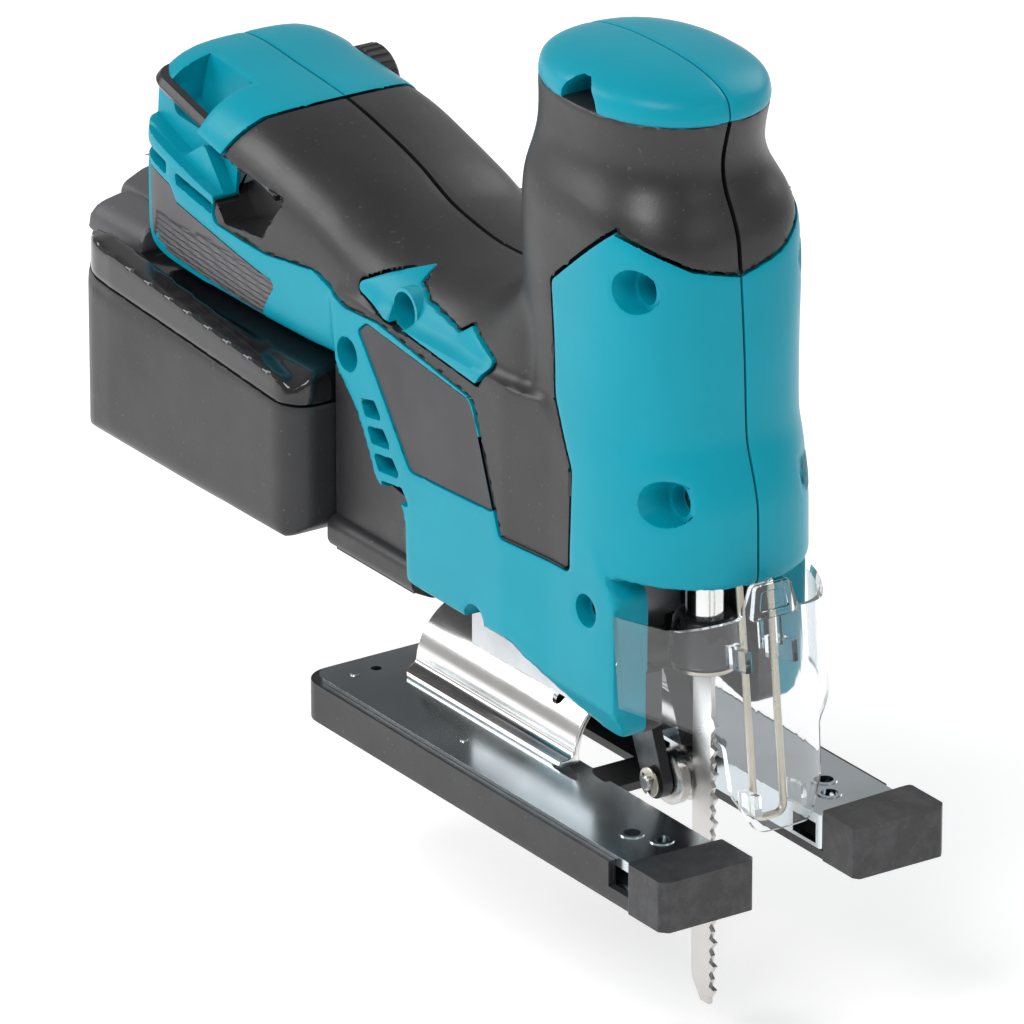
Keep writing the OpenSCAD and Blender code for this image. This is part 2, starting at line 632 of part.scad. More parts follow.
orbit_shaft_r = 3.5;
module orbit_place() { translate([blade_x - 17, 0, 54]) children(); }
module orbit_lever() {
    color([0.1, 0.1, 0.1]) orbit_place() difference() {
        union() {
            rod_y(half_w + slide_gap, half_w + 5, 8);
            translate([-3, half_w + slide_gap, 0]) cube([6, 5 - slide_gap, 14]);
        }
        rod_y(half_w, half_w + 3, 2);
    }
}
module orbit_cam() {
    color("silver") orbit_place() {
        rod_y(8.3, half_w + slide_gap, orbit_shaft_r);
        rod_y(half_w, half_w + 3, 2);
    }
}

// ---- Base ----
shoe_hw = base_w / 2;
plate_hw = shoe_hw - shoe_t;
cap_l = 14;
gap_rear_x = front_x - gap_l;
clamp_x = -22;
hump_front = gap_rear_x;
hump_rear = -60;
module prong_gap_cut(extra) {
    w = prong_gap + 2 * extra;
    translate([gap_rear_x - extra, -w / 2, -5]) cube([gap_l + 10, w, 40]);
}
module base_plate() {
    low = shoe_t + slide_gap / 3;
    color([0.7, 0.74, 0.76]) difference() {
        union() {
            difference() {
                translate([rear_x + shoe_t, -plate_hw, low]) cube([base_l - shoe_t - cap_l, 2 * plate_hw, plate_top - low]);
                translate([rear_x + shoe_t + plate_t, -plate_hw + plate_t, -1])
                    cube([base_l - shoe_t - cap_l - 2 * plate_t, 2 * plate_hw - 2 * plate_t, plate_top - plate_t + 1]);
            }
            for (s = [-1, 1]) translate([gap_rear_x - 2, s > 0 ? prong_gap / 2 : -prong_gap / 2 - plate_t, low])
                cube([gap_l - cap_l + 2, plate_t, plate_top - low]);
            // cores inside the caps
            for (s = [-1, 1]) translate([front_x - cap_l - 1, s > 0 ? prong_gap / 2 + 2.2 : -plate_hw + 1, low + 1])
                cube([cap_l - 3, plate_hw - prong_gap / 2 - 3.2, 5]);
        }
        prong_gap_cut(0);
        // opening under the hump
        translate([hump_rear + 3, -hump_r + 4, -1]) cube([hump_front - hump_rear - 3 + 5, 2 * hump_r - 8, 30]);
        // cross holes for a guide rule through both prongs
        for (s = [-1, 1]) translate([front_x - cap_l - 11, s > 0 ? 10 : -50, shoe_t + 1]) cube([9, 40, 5]);
        for (s = [-1, 1], x = TAPS) translate([x, s * TAP_Y, 0]) rod_z(-1, plate_top + 1, tap_r);
        translate([rear_x + 12, -16, 0]) rod_z(-1, plate_top + 1, 1.2);
    }
}
TAPS = [front_x - 30, front_x - 23];
TAP_Y = 25;
module bevel_hump() {
    inner = hump_r - 1.5;
    color([0.85, 0.86, 0.87]) difference() {
        union() {
            difference() {
                translate([0, 0, bevel_z]) rod_x(hump_rear, hump_front, hump_r);
                translate([hump_rear - 1, -30, -10]) cube([hump_front - hump_rear + 2, 60, plate_top + 10]);
            }
            for (s = [-1, 1]) translate([hump_rear, s > 0 ? hump_r - 2 : -hump_r - 4, plate_top])
                cube([hump_front - hump_rear, 6, 1.5]);
        }
        translate([0, 0, bevel_z]) rod_x(hump_rear - 1, hump_front + 1, inner);
        // slot that lets the clamp bolt pass at every tilt
        translate([clamp_x, 0, bevel_z]) for (a = [-30:15:30]) rotate([a, 0, 0]) rod_z(2, hump_r + 3, 3.6);
        translate([clamp_x, 0, bevel_z]) intersection() {
            rod_x(-3.6, 3.6, hump_r + 3);
            section_slab([[0, 0], [-17, 26], [17, 26]], -3.6, 3.6);
        }
        translate([-2, 0, bevel_z]) rotate([40, 0, 0]) rod_z(2, hump_r + 3, 2);
    }
}
module clamp_plate() {
    color([0.6, 0.6, 0.62]) difference() {
        intersection() {
            translate([0, 0, bevel_z]) rod_x(clamp_x - 7, clamp_x + 7, hump_r - 1.5 - slide_gap);
            translate([clamp_x - 8, -7, bevel_z + 7]) cube([16, 14, 20]);
        }
        translate([0, 0, bevel_z]) rod_x(clamp_x - 8, clamp_x + 8, hump_r - 4.5);
        translate([clamp_x, 0, 0]) rod_z(0, 60, 3 + run_gap);
    }
}
module clamp_bolt() {
    color([0.3, 0.3, 0.31]) translate([clamp_x, 0, 0]) difference() {
        union() {
            rod_z(bevel_z + 4.5, bevel_z + hump_r - 5.6, 5);
            rod_z(bevel_z + hump_r - 5.6 - eps, bevel_z + 32.5, 3);
        }
        translate([0, 0, bevel_z + 3]) cylinder(r = 2.9, h = 4.5, $fn = 6);
    }
}
module sole_cover() {
    color([0.13, 0.13, 0.14]) difference() {
        union() {
            translate([rear_x, -shoe_hw, 0]) cube([base_l - 2, base_w, shoe_t]);
            for (s = [-1, 1]) {
                // side walls, open where the guide rule passes
                translate([rear_x, s > 0 ? plate_hw + 0.1 : -shoe_hw, 0]) cube([base_l - cap_l - 12, shoe_t - 0.1, plate_top - 1]);
                // caps over the fronts of the prongs
                intersection() {
                    translate([front_x - cap_l, s > 0 ? prong_gap / 2 : -shoe_hw, 0]) cube([cap_l, shoe_hw - prong_gap / 2, plate_top + 1.6]);
                    linear_extrude(height = 30) polygon(mirrored([[0, shoe_hw], [front_x - 4, shoe_hw],
                        [front_x, shoe_hw - 5], [front_x, prong_gap / 2 + 3], [front_x - 4, prong_gap / 2]]));
                }
            }
            translate([rear_x, -shoe_hw, 0]) cube([shoe_t - 0.1, base_w, plate_top - 1]);
        }
        prong_gap_cut(0);
        for (s = [-1, 1]) translate([front_x - cap_l - 5, s > 0 ? prong_gap / 2 + 2 : -plate_hw + 0.8, shoe_t])
            cube([cap_l + 1.2, plate_hw - prong_gap / 2 - 2.8, 6.3]);
        translate([clamp_x - 16, -9, -1]) cube([32, 18, 10]);
    }
}

// ---- Guard wire and chip cover ----
module guard_wire() {
    color("silver") on_wire() {
        for (y = [-wire_y, wire_y]) translate([0, y, 0]) rod_z(-wire_l + wire_r, 12.8, wire_r);
        translate([0, 0, -wire_l + wire_r]) rod_y(-wire_y, wire_y, wire_r);
        for (y = [-wire_y, wire_y]) translate([0, y, -wire_l + wire_r]) sphere(r = wire_r);
    }
}
function cover_ring(hl, hw) = [for (i = [0:79]) let(a = 360 * i / 80) [hl * spow(cos(a), 5), hw * spow(sin(a), 5)]];
COVER_FRONT = [[-40, 1], [-40, -22], [-lobe_hw, -29], [-lobe_hw + 0.5, -42], [-lobe_hw + 5, -wire_l - 1],
    [lobe_hw - 5, -wire_l - 1], [lobe_hw - 0.5, -42], [lobe_hw, -29], [40, -22], [40, 1], [6, -1],
    [5, 7], [-5, 7], [-6, -1]];
module chip_cover() {
    centre = -36;
    inner_l = cover_gap - centre;
    inner_w = tower_hw + 1.2;
    color([0.8, 0.85, 0.88, 0.5]) on_wire() {
        intersection() {
            translate([centre, 0, -60]) linear_extrude(height = 80) difference() {
                polygon(cover_ring(inner_l + cover_t, inner_w + cover_t));
                polygon(cover_ring(inner_l, inner_w));
            }
            section_slab(COVER_FRONT, -18, 12);
        }
        // hooks that ride on the wire
        for (z = [-12, -46], s = [-1, 1]) translate([-1.6, s * (wire_y + 2.2) - 0.8, z - 2])
            cube([cover_gap + 2.4, 1.6, 5]);
        for (s = [-1, 1]) translate([-2.9, s * (wire_y + 1.3) - 1.7, -14]) cube([1.4, 3.4, 5]);
    }
}

// ---- Battery ----
BAT_SPLIT = [[bat_rear_x - 1, bat_top - 2.2], [bat_front_x + 1, bat_top - 9.3]];
module battery_solid(d) {
    front = bat_front_x - d;
    rear = bat_rear_x + d;
    hw = bat_w / 2 - d;
    low = bat_top - bat_h + d;
    top = bat_top - d;
    intersection() {
        linear_extrude(height = 130) polygon(mirrored([[rear, hw - 14], [rear + 4, hw - 6], [rear + 12, hw - 1.5],
            [rear + 20, hw], [front - 3, hw], [front, hw - 3]]));
        section_slab(mirrored_y([[hw - 4, low], [hw, low + 4], [hw, top - 6], [hw - 12, top]]), rear, front);
    }
}
module battery_above(points) {
    side_slab(concat(points, [[bat_front_x + 1, 120], [bat_rear_x - 1, 120]]), 120);
}
module battery_bump() {
    x = bat_rear_x + 3;
    section_slab(mirrored_y([[25, bat_top - 0.5], [25, bat_top + 6], [20, bat_top + 10]]), x, x + 24);
}
module button_space(extra) {
    x = bat_rear_x + 6;
    translate([x - extra, -16 - extra, bat_top + 4.6 - extra]) cube([16 + 2 * extra, 32 + 2 * extra, 12]);
}
module battery_case_upper() {
    color([0.09, 0.09, 0.1]) difference() {
        union() {
            intersection() { battery_solid(0); battery_above(BAT_SPLIT); }
            battery_bump();
        }
        battery_solid(2);
        button_space(slide_gap);
        translate([0, 0, -button_travel]) button_space(slide_gap);
        for (s = [-1, 1]) translate([bat_front_x - 30, s * 11.5 - 1.5, bat_top - 3]) cube([40, 3, 6]);
    }
}
module battery_case_lower() {
    color([0.14, 0.14, 0.15]) difference() {
        battery_solid(0);
        battery_above(BAT_SPLIT);
        battery_solid(2);
        translate([bat_rear_x, 0, charge_z]) rod_x(-2, 5, charge_r + slide_gap);
    }
}
charge_z = 62;
button_travel = 3;
charge_r = 3;
cell_r = 8.9;
module battery_cells() {
    pitch = 2 * cell_r + 0.4;
    rows = floor((bat_h - 4) / pitch);
    columns = floor((bat_l - 20) / pitch);
    color("steelblue") for (j = [0:rows - 1], i = [0:columns - 1])
        translate([bat_front_x - 5 - cell_r - i * pitch, 0, bat_top - bat_h + 2.1 + cell_r + j * pitch])
            rod_y(-bat_w / 2 + 6.5, bat_w / 2 - 6.5, cell_r);
}
module battery_contacts() {
    color([0.8, 0.65, 0.3]) for (s = [-1, 1])
        translate([bat_front_x - 16, s * 11.5 - 0.4, bat_top - 2.2]) cube([12, 0.8, 3]);
}
module release_button() {
    color([0.3, 0.3, 0.31]) button_space(0);
}
module charge_button() {
    color([0.6, 0.6, 0.6]) translate([0, 0, charge_z]) rod_x(bat_rear_x - 1, bat_rear_x + 2, charge_r);
}

housing_right();
housing_left();
grip_right();
grip_left();
housing_screws();
nameplate();
vent_cover_right();
vent_cover_left();
hex_wrench();
lower_cover();
slide_switch();
switch_unit();
speed_dial();
controller();
terminal_block();
motor_stator();
rotor();
fan();
rear_bearing();
front_bearing();
pinion();
crank_gear();
gear_shaft();
gear_bearing();
crank_roller();
gear_housing();
upper_bush();
lower_bush();
plunger();
yoke();
clamp_collar();
clamp_spring();
blade();
roller_bracket();
bracket_pin();
guide_roller();
roller_pin();
retaining_clip();
orbit_lever();
orbit_cam();
base_plate();
bevel_hump();
clamp_bolt();
clamp_plate();
sole_cover();
guard_wire();
chip_cover();
battery_case_upper();
battery_case_lower();
battery_cells();
battery_contacts();
release_button();
charge_button();
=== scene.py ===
"""Looks of a cordless barrel-grip jigsaw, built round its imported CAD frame.

+X is the cutting direction, +Y the tool's left, +Z up, and the origin is under the middle of the sole.
Sizes in this file are in millimetres and turn into metres when a mesh is made.
"""

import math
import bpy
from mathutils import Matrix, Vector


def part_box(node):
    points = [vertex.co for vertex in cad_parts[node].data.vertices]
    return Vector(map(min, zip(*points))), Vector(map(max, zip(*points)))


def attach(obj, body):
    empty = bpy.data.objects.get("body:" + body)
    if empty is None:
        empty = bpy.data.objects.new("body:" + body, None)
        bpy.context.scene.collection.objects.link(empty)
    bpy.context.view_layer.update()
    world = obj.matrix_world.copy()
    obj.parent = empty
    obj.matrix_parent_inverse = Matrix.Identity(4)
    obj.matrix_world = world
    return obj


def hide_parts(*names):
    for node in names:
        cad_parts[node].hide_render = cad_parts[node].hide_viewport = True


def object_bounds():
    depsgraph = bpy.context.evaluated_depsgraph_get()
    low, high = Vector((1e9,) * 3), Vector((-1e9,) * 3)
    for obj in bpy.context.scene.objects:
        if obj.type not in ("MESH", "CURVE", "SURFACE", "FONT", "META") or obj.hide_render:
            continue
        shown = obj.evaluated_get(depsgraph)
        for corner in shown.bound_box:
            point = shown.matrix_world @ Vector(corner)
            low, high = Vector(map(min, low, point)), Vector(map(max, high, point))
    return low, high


bl_info = {
    "name": "Barrel-grip jigsaw",
    "version": (1, 0, 0),
    "blender": (4, 5, 0),
    "location": "3D View > Sidebar > Jigsaw",
    "description": "Builds the detailed shells, base, cutting end and finishes of a cordless jigsaw",
    "category": "Add Mesh",
}

from contextlib import contextmanager
from itertools import product

import bmesh
import bpy
import numpy as np
from bpy.props import FloatProperty, FloatVectorProperty, PointerProperty
from mathutils import Matrix, Vector
from mathutils.bvhtree import BVHTree
from mathutils.kdtree import KDTree

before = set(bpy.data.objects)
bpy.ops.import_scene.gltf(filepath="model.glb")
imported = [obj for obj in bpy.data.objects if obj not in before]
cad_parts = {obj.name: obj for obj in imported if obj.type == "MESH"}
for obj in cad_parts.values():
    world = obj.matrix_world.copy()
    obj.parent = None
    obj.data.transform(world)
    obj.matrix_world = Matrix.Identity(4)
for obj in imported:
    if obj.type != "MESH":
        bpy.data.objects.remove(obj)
CAD_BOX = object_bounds()
MM = 0.001
SAME_PLACE = 1e-7
FAR_OUT = 80  # beyond either side of the tool


def node_box(node):
    """Lowest and highest corner of a CAD node, in millimetres."""
    low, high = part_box(node)
    return Vector(low) / MM, Vector(high) / MM


def node_middle(node):
    """Middle of a CAD node's box, in millimetres."""
    low, high = node_box(node)
    return (low + high) / 2


# ---- Mesh tools ----


def link(name, mesh):
    """A new object of that mesh, in the scene."""
    obj = bpy.data.objects.new(name, mesh)
    bpy.context.scene.collection.objects.link(obj)
    return obj


@contextmanager
def editing(mesh):
    """Opens a mesh for changes and writes them back."""
    bm = bmesh.new()
    bm.from_mesh(mesh)
    yield bm
    bm.to_mesh(mesh)
    bm.free()


def solid(name, verts, faces):
    """Closed mesh object from millimetre corners, its faces turned outward."""
    mesh = bpy.data.meshes.new(name)
    mesh.from_pydata([tuple(float(c) * MM for c in v) for v in verts], [], faces)
    with editing(mesh) as bm:
        bmesh.ops.recalc_face_normals(bm, faces=bm.faces)
        bmesh.ops.triangulate(bm, faces=[f for f in bm.faces if len(f.verts) > 4])
    return link(name, mesh)


def evaluated_mesh(obj):
    """Mesh of the object as its modifiers or its curve settings make it."""
    return bpy.data.meshes.new_from_object(obj.evaluated_get(bpy.context.evaluated_depsgraph_get()))


def settle(obj):
    """Makes the object's modifiers part of its mesh."""
    mesh = evaluated_mesh(obj)
    obj.modifiers.clear()
    obj.data = mesh
    return obj


def discard(obj):
    """Removes an object that has been used up."""
    bpy.data.objects.remove(obj)


def combine(obj, tool, operation):
    """Boolean of obj with tool, which is used up."""
    mod = obj.modifiers.new("Combine", "BOOLEAN")
    mod.operation, mod.solver, mod.object = operation, "MANIFOLD", tool
    settle(obj)
    discard(tool)
    return obj


def cut(obj, *tools):
    """Cuts each tool out of obj."""
    for tool in tools:
        combine(obj, tool, "DIFFERENCE")
    return obj


def add(obj, *others):
    """Joins each closed solid onto obj."""
    for other in others:
        combine(obj, other, "UNION")
    return obj


def keep_inside(obj, *tools):
    """Keeps only what lies inside each tool."""
    for tool in tools:
        combine(obj, tool, "INTERSECT")
    return obj


def copy_of(obj, name):
    """Separate copy of an object and its mesh."""
    other = obj.copy()
    other.data = obj.data.copy()
    other.name = name
    bpy.context.scene.collection.objects.link(other)
    return other


def gather(name, objs):
    """One object from several, without joining their surfaces."""
    bm = bmesh.new()
    for o in objs:
        bm.from_mesh(o.data)
        discard(o)
    mesh = bpy.data.meshes.new(name)
    bm.to_mesh(mesh)
    bm.free()
    return link(name, mesh)


def span(side, a, b):
    """Lowest and highest Y between two distances from the middle plane, on that side."""
    return sorted((side * a, side * b))


def place(obj, matrix):
    """Moves the mesh itself; the matrix is in millimetres."""
    m = matrix.copy()
    m.translation = m.translation * MM
    obj.data.transform(m)
    return obj


def spot(x, y, z, turn=0, axis="Y"):
    """Matrix for a place in millimetres, turned by degrees about one axis."""
    return Matrix.Translation((x, y, z)) @ Matrix.Rotation(math.radians(turn), 4, axis)


def loft(name, rings):
    """Skins rings of equal length into a closed solid."""
    n, verts = len(rings[0]), np.concatenate(rings)
    faces = [tuple(range(n)), tuple(range(len(verts) - 1, len(verts) - n - 1, -1))]
    for j in range(len(rings) - 1):
        a, b = j * n, (j + 1) * n
        faces += [(a + i, b + i, b + (i + 1) % n, a + (i + 1) % n) for i in range(n)]
    return solid(name, verts, faces)


def in_plane(points, axis, level):
    """Flat points as 3D points on the plane where that axis has that value."""
    p = np.array(points, float)
    flat = np.full(len(p), float(level))
    columns = {"x": (flat, p[:, 0], p[:, 1]), "y": (p[:, 0], flat, p[:, 1]), "z": (p[:, 0], p[:, 1], flat)}
    return np.stack(columns[axis], 1)


def prism(name, outline, axis, low, high):
    """Solid from a flat outline: (y, z) along x, (x, z) along y or (x, y) along z."""
    return loft(name, [in_plane(outline, axis, low), in_plane(outline, axis, high)])


def block(name, low, high):
    """Box between two corners."""
    (x0, y0, z0), (x1, y1, z1) = low, high
    return prism(name, [(x0, y0), (x1, y0), (x1, y1), (x0, y1)], "z", z0, z1)


def circle(radius, n=48):
    """Points round a circle about the origin."""
    a = np.linspace(0, 2 * math.pi, n, endpoint=False)
    return np.stack([radius * np.cos(a), radius * np.sin(a)], 1)


def rod(name, start, end, radius, end_radius=None, n=48):
    """Round bar or cone between two points."""
    a, b = Vector(start), Vector(end)
    ends = [in_plane(circle(r, n), "z", z) for r, z in ((radius, 0), (end_radius or radius, (b - a).length))]
    obj = loft(name, ends)
    return place(obj, Matrix.Translation(a) @ (b - a).to_track_quat("Z", "Y").to_matrix().to_4x4())


def lathe(name, profile, n=64):
    """Closed ring or solid turned round Z from (radius, z) points that go round its section."""
    a = np.linspace(0, 2 * math.pi, n, endpoint=False)
    verts = [(r * math.cos(t), r * math.sin(t), z) for t in a for r, z in profile]
    m = len(profile)
    faces = []
    for i in range(n):
        p, q = i * m, ((i + 1) % n) * m
        faces += [(p + j, q + j, q + (j + 1) % m, p + (j + 1) % m) for j in range(m)]
    obj = solid(name, verts, faces)
    with editing(obj.data) as bm:
        bmesh.ops.remove_doubles(bm, verts=bm.verts, dist=SAME_PLACE)
        bmesh.ops.dissolve_degenerate(bm, edges=bm.edges, dist=SAME_PLACE)
        bmesh.ops.recalc_face_normals(bm, faces=bm.faces)
    return obj


def along_y(obj, x, y, z):
    """Turns a shape made along Z so that it runs along +Y from a place."""
    return place(obj, spot(x, y, z, -90, "X"))


def tube(name, path, radius, n=24):
    """Round wire of that radius along a path of points."""
    curve = bpy.data.curves.new(name, "CURVE")
    curve.dimensions = "3D"
    curve.bevel_depth, curve.bevel_resolution = radius * MM, n // 4
    curve.use_fill_caps = True
    line = curve.splines.new("POLY")
    line.points.add(len(path) - 1)
    for point, p in zip(line.points, path):
        point.co = (*(c * MM for c in p), 1)
    obj = link(name, curve)
    mesh = evaluated_mesh(obj)
    discard(obj)
    return link(name, mesh)


def rounded(points, radius, steps=5):
    """Outline with its corners turned into arcs, of a point's own radius where it has a third value."""
    out, n = [], len(points)
    for i, p in enumerate(points):
        r = p[2] if len(p) > 2 else radius
        here, before, after = (Vector(points[k % n][:2]) for k in (i, i - 1, i + 1))
        u, v = (before - here), (after - here)
        half = u.angle(v) / 2
        reach = min(r / math.tan(half), 0.48 * u.length, 0.48 * v.length) if half < 1.56 else 0
        if reach < 1e-3:
            out.append(tuple(here))
            continue
        u.normalize(), v.normalize()
        r = reach * math.tan(half)
        centre = here + (u + v).normalized() * (r / math.sin(half))
        start, end = here + u * reach - centre, here + v * reach - centre
        turn = start.angle_signed(end)
        for k in range(steps + 1):
            out.append(tuple(centre + Matrix.Rotation(-turn * k / steps, 2) @ start))
    return out


def mirrored(points):
    """Outline in (x, y) closed by its own mirror image in the x axis."""
    return list(points) + [(x, -y) for x, y in reversed(list(points))]


def fill_in(table, step):
    """Rows of a table filled in between along its first column, smoothly and with no overshoot."""
    t = np.array(table, float)
    x, y = t[:, 0], t[:, 1:]
    h = np.diff(x)[:, None]
    slope = np.diff(y, axis=0) / h
    m = np.zeros_like(y)
    a, b = slope[:-1], slope[1:]
    same = a * b > 0
    m[1:-1][same] = 2 * a[same] * b[same] / (a[same] + b[same])
    m[0], m[-1] = slope[0], slope[-1]
    rows = []
    for i in range(len(x) - 1):
        count = max(1, round(abs(h[i, 0]) / step))
        for k in range(count):
            s = k / count
            value = (2 * s**3 - 3 * s**2 + 1) * y[i] + (s**3 - 2 * s**2 + s) * h[i] * m[i]
            value = value + (3 * s**2 - 2 * s**3) * y[i + 1] + (s**3 - s**2) * h[i] * m[i + 1]
            rows.append(np.r_[x[i] + s * h[i, 0], value])
    return rows + [t[-1]]


def oval(a, b, power, n=96):
    """Superellipse outline with half sizes a and b."""
    t = np.linspace(0, 2 * math.pi, n, endpoint=False)
    return np.stack([h * np.sign(f) * np.abs(f) ** (2 / power) for h, f in ((a, np.cos(t)), (b, np.sin(t)))], 1)


def remesh(obj, size):
    """Even mesh of small squares in place of the object's own."""
    mod = obj.modifiers.new("Even", "REMESH")
    mod.mode, mod.voxel_size, mod.adaptivity = "VOXEL", size * MM, 0
    return settle(obj)


def relax(obj, times, strength=0.5, near=None, reach=0):
    """Smooths the mesh, everywhere or only near some points, where it fades out over reach."""
    mod = obj.modifiers.new("Relax", "SMOOTH")
    mod.iterations, mod.factor = times, strength
    if near is not None:
        group = obj.vertex_groups.new(name="Relax")
        spots = np.array(near, float)
        for v in obj.data.vertices:
            gap = np.min(np.linalg.norm(spots - np.array(v.co) / MM, axis=1))
            weight = 1 - (gap / reach) ** 2
            if weight > 0:
                group.add([v.index], weight, "REPLACE")
        mod.vertex_group = group.name
    settle(obj)
    obj.vertex_groups.clear()
    return obj


def round_edges(obj, width, segments=2, angle=30):
    """Bevels the edges of a hard shape."""
    mod = obj.modifiers.new("Edges", "BEVEL")
    mod.width, mod.segments, mod.limit_method = width * MM, segments, "ANGLE"
    mod.angle_limit = math.radians(angle)
    return settle(obj)


def coordinates(obj):
    """Corners of the mesh in millimetres."""
    co = np.empty(len(obj.data.vertices) * 3)
    obj.data.vertices.foreach_get("co", co)
    return co.reshape(-1, 3) / MM


def set_coordinates(obj, co):
    """Moves the corners of the mesh to places in millimetres."""
    obj.data.vertices.foreach_set("co", (co * MM).ravel())
    obj.data.update()


def ease_edges(obj, reach, depth, angle=50):
    """Rounds the sharp edges of a finely meshed shape by drawing in the points near them."""
    limit = math.radians(angle)
    with editing(obj.data) as bm:
        bm.normal_update()
        sharp = [e for e in bm.edges if len(e.link_faces) == 2 and e.calc_face_angle(0) > limit]
        marks = [e.verts[0].co.lerp(e.verts[1].co, s) for e in sharp for s in (0, 0.5, 1)]
        tree = KDTree(len(marks))
        for i, p in enumerate(marks):
            tree.insert(p, i)
        tree.balance()
        moves = []
        for v in bm.verts if marks else ():
            gap = tree.find(v.co)[2] / MM
            if gap < reach:
                moves.append((v, v.normal * (depth * (1 - gap / reach) ** 2 * MM)))
        for v, move in moves:
            v.co -= move
    return obj


def draw_in(obj, amount):
    """Moves the surface inward by an amount in millimetres, but not where it faces steeply down."""
    co = coordinates(obj)
    normals = np.empty(len(co) * 3)
    obj.data.vertices.foreach_get("normal", normals)
    normals = normals.reshape(-1, 3)
    free = np.abs(normals[:, 1]) + np.abs(normals[:, 0]) + normals[:, 2] > 0
    set_coordinates(obj, co - normals * amount * free[:, None])


def drape(name, outline, surface, side, lift, depth, cell, relief=None):
    """Thin panel of a side outline that follows a surface, lifted off it, with a relief on its face."""
    p = np.array(outline, float)
    low, high = p.min(0) - cell, p.max(0) + cell
    xs, zs = (np.arange(low[k], high[k] + cell, cell) for k in (0, 1))
    grid = np.array([(x, z) for x in xs for z in zs])
    nx, nz = len(xs), len(zs)
    verts = np.concatenate([in_plane(grid, "y", 0), in_plane(grid, "y", depth)])
    faces = []
    at = lambda i, j, k: k * nx * nz + i * nz + j
    for i, j, k in product(range(nx - 1), range(nz - 1), (0, 1)):
        faces.append((at(i, j, k), at(i + 1, j, k), at(i + 1, j + 1, k), at(i, j + 1, k)))
    rim = [(i, 0) for i in range(nx)] + [(nx - 1, j) for j in range(1, nz)]
    rim += [(i, nz - 1) for i in range(nx - 2, -1, -1)] + [(0, j) for j in range(nz - 2, 0, -1)]
    for (a, b), (c, d) in zip(rim, rim[1:] + rim[:1]):
        faces.append((at(a, b, 0), at(c, d, 0), at(c, d, 1), at(a, b, 1)))
    panel = keep_inside(solid(name, verts, faces), prism(name, outline, "y", -1, depth + 1))
    mesh = surface.data
    tree = BVHTree.FromPolygons([v.co for v in mesh.vertices], [tuple(f.vertices) for f in mesh.polygons])
    co = coordinates(panel)
    last = side * 25
    for i, (x, y, z) in enumerate(co):
        hit = tree.ray_cast(Vector((x, side * FAR_OUT, z)) * MM, Vector((0, -side, 0)))[0]
        last = hit.y / MM if hit else last
        face = last + side * lift
        if relief is not None and y < depth / 2:
            face += side * relief(x, z)
        co[i] = (x, face - side * y, z)
    set_coordinates(panel, co)
    if side > 0:
        panel.data.flip_normals()
    with editing(panel.data) as bm:
        bmesh.ops.recalc_face_normals(bm, faces=bm.faces)
    return panel


def shade(obj, angle=35):
    """Smooth shading that keeps edges sharper than the angle crisp."""
    obj.data.shade_smooth()
    obj.data.set_sharp_from_angle(angle=math.radians(angle))
    mod = obj.modifiers.new("Even light", "WEIGHTED_NORMAL")
    mod.keep_sharp = True
    return settle(obj)


def fit(obj, body, slot, *nodes, angle=35):
    """Finishes a piece: its shading, finish, body and the CAD nodes it stands for."""
    shade(obj, angle)
    obj.data.materials.clear()
    obj.data.materials.append(FINISHES[slot])
    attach(obj, body)
    if nodes:
        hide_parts(*nodes)
    return obj


# ---- Settings ----


def colour_setting(name, description, default):
    """A colour."""
    return FloatVectorProperty(name=name, description=description, default=default, subtype="COLOR", min=0, max=1)


def length_setting(name, description, default, low=0, high=500):
    """A length in millimetres."""
    return FloatProperty(name=name, description=description + ", mm", default=default, min=low, max=high)


def angle_setting(name, description, degrees):
    """An angle, given in degrees."""
    return FloatProperty(name=name, description=description, default=math.radians(degrees), subtype="ANGLE")


class JigsawColours(bpy.types.PropertyGroup):
    """Colours of the moulded and plated parts."""

    shell: colour_setting("Shell", "Moulded clamshell", (0.0, 0.30, 0.40))
    rubber: colour_setting("Rubber", "Soft grip", (0.014, 0.0135, 0.014))
    black: colour_setting("Black plastic", "Sole cover, lower battery case, controls", (0.021, 0.021, 0.023))
    gloss: colour_setting("Gloss black", "Upper battery case", (0.006, 0.006, 0.007))
    grey: colour_setting("Grey plastic", "Vent covers and battery button", (0.075, 0.073, 0.078))
    label: colour_setting("Label", "Blank rating plate and its print", (0.035, 0.034, 0.038))
    plated: colour_setting("Plated steel", "Pressed base plate", (0.60, 0.66, 0.69))
    steel: colour_setting("Steel", "Blade, hump, pins and wire", (0.82, 0.81, 0.80))
    floor: colour_setting("Floor", "Studio floor", (0.86, 0.86, 0.86))


class JigsawSizes(bpy.types.PropertyGroup):
    """Sizes of the details that the frame leaves open."""

    shell_cell: length_setting("Shell mesh", "Cell of the shell's mesh", 1.15, 0.6, 3)
    seam: length_setting("Seam", "Gap between the moulded parts", 0.35, 0.1, 1)
    lip: length_setting("Lip", "How far the shell stands proud of the rubber", 0.35, 0, 1)
    rib_pitch: length_setting("Rib pitch", "Distance between the ribs of a vent cover", 1.5, 0.8, 3)
    rib_depth: length_setting("Rib depth", "Depth of those ribs", 0.45, 0.1, 1)
    cover_wall: length_setting("Cover wall", "Thickness of the clear cover", 1.3, 0.8, 2)
    tooth_set: length_setting("Tooth set", "Sideways set of the blade's teeth", 0.35, 0, 0.6)
    floor_drop: length_setting("Floor drop", "Depth of the floor under the blade's tip", 4, 0, 100)
    camera_distance: length_setting("Camera distance", "From the camera to the tool", 2600, 500, 6000)
    lens: FloatProperty(name="Lens", description="Focal length", default=394.7, unit="CAMERA", min=20, max=900)
    azimuth: angle_setting("Azimuth", "Camera's turn round the tool", 56.07)
    elevation: angle_setting("Elevation", "Camera's height", 22.54)


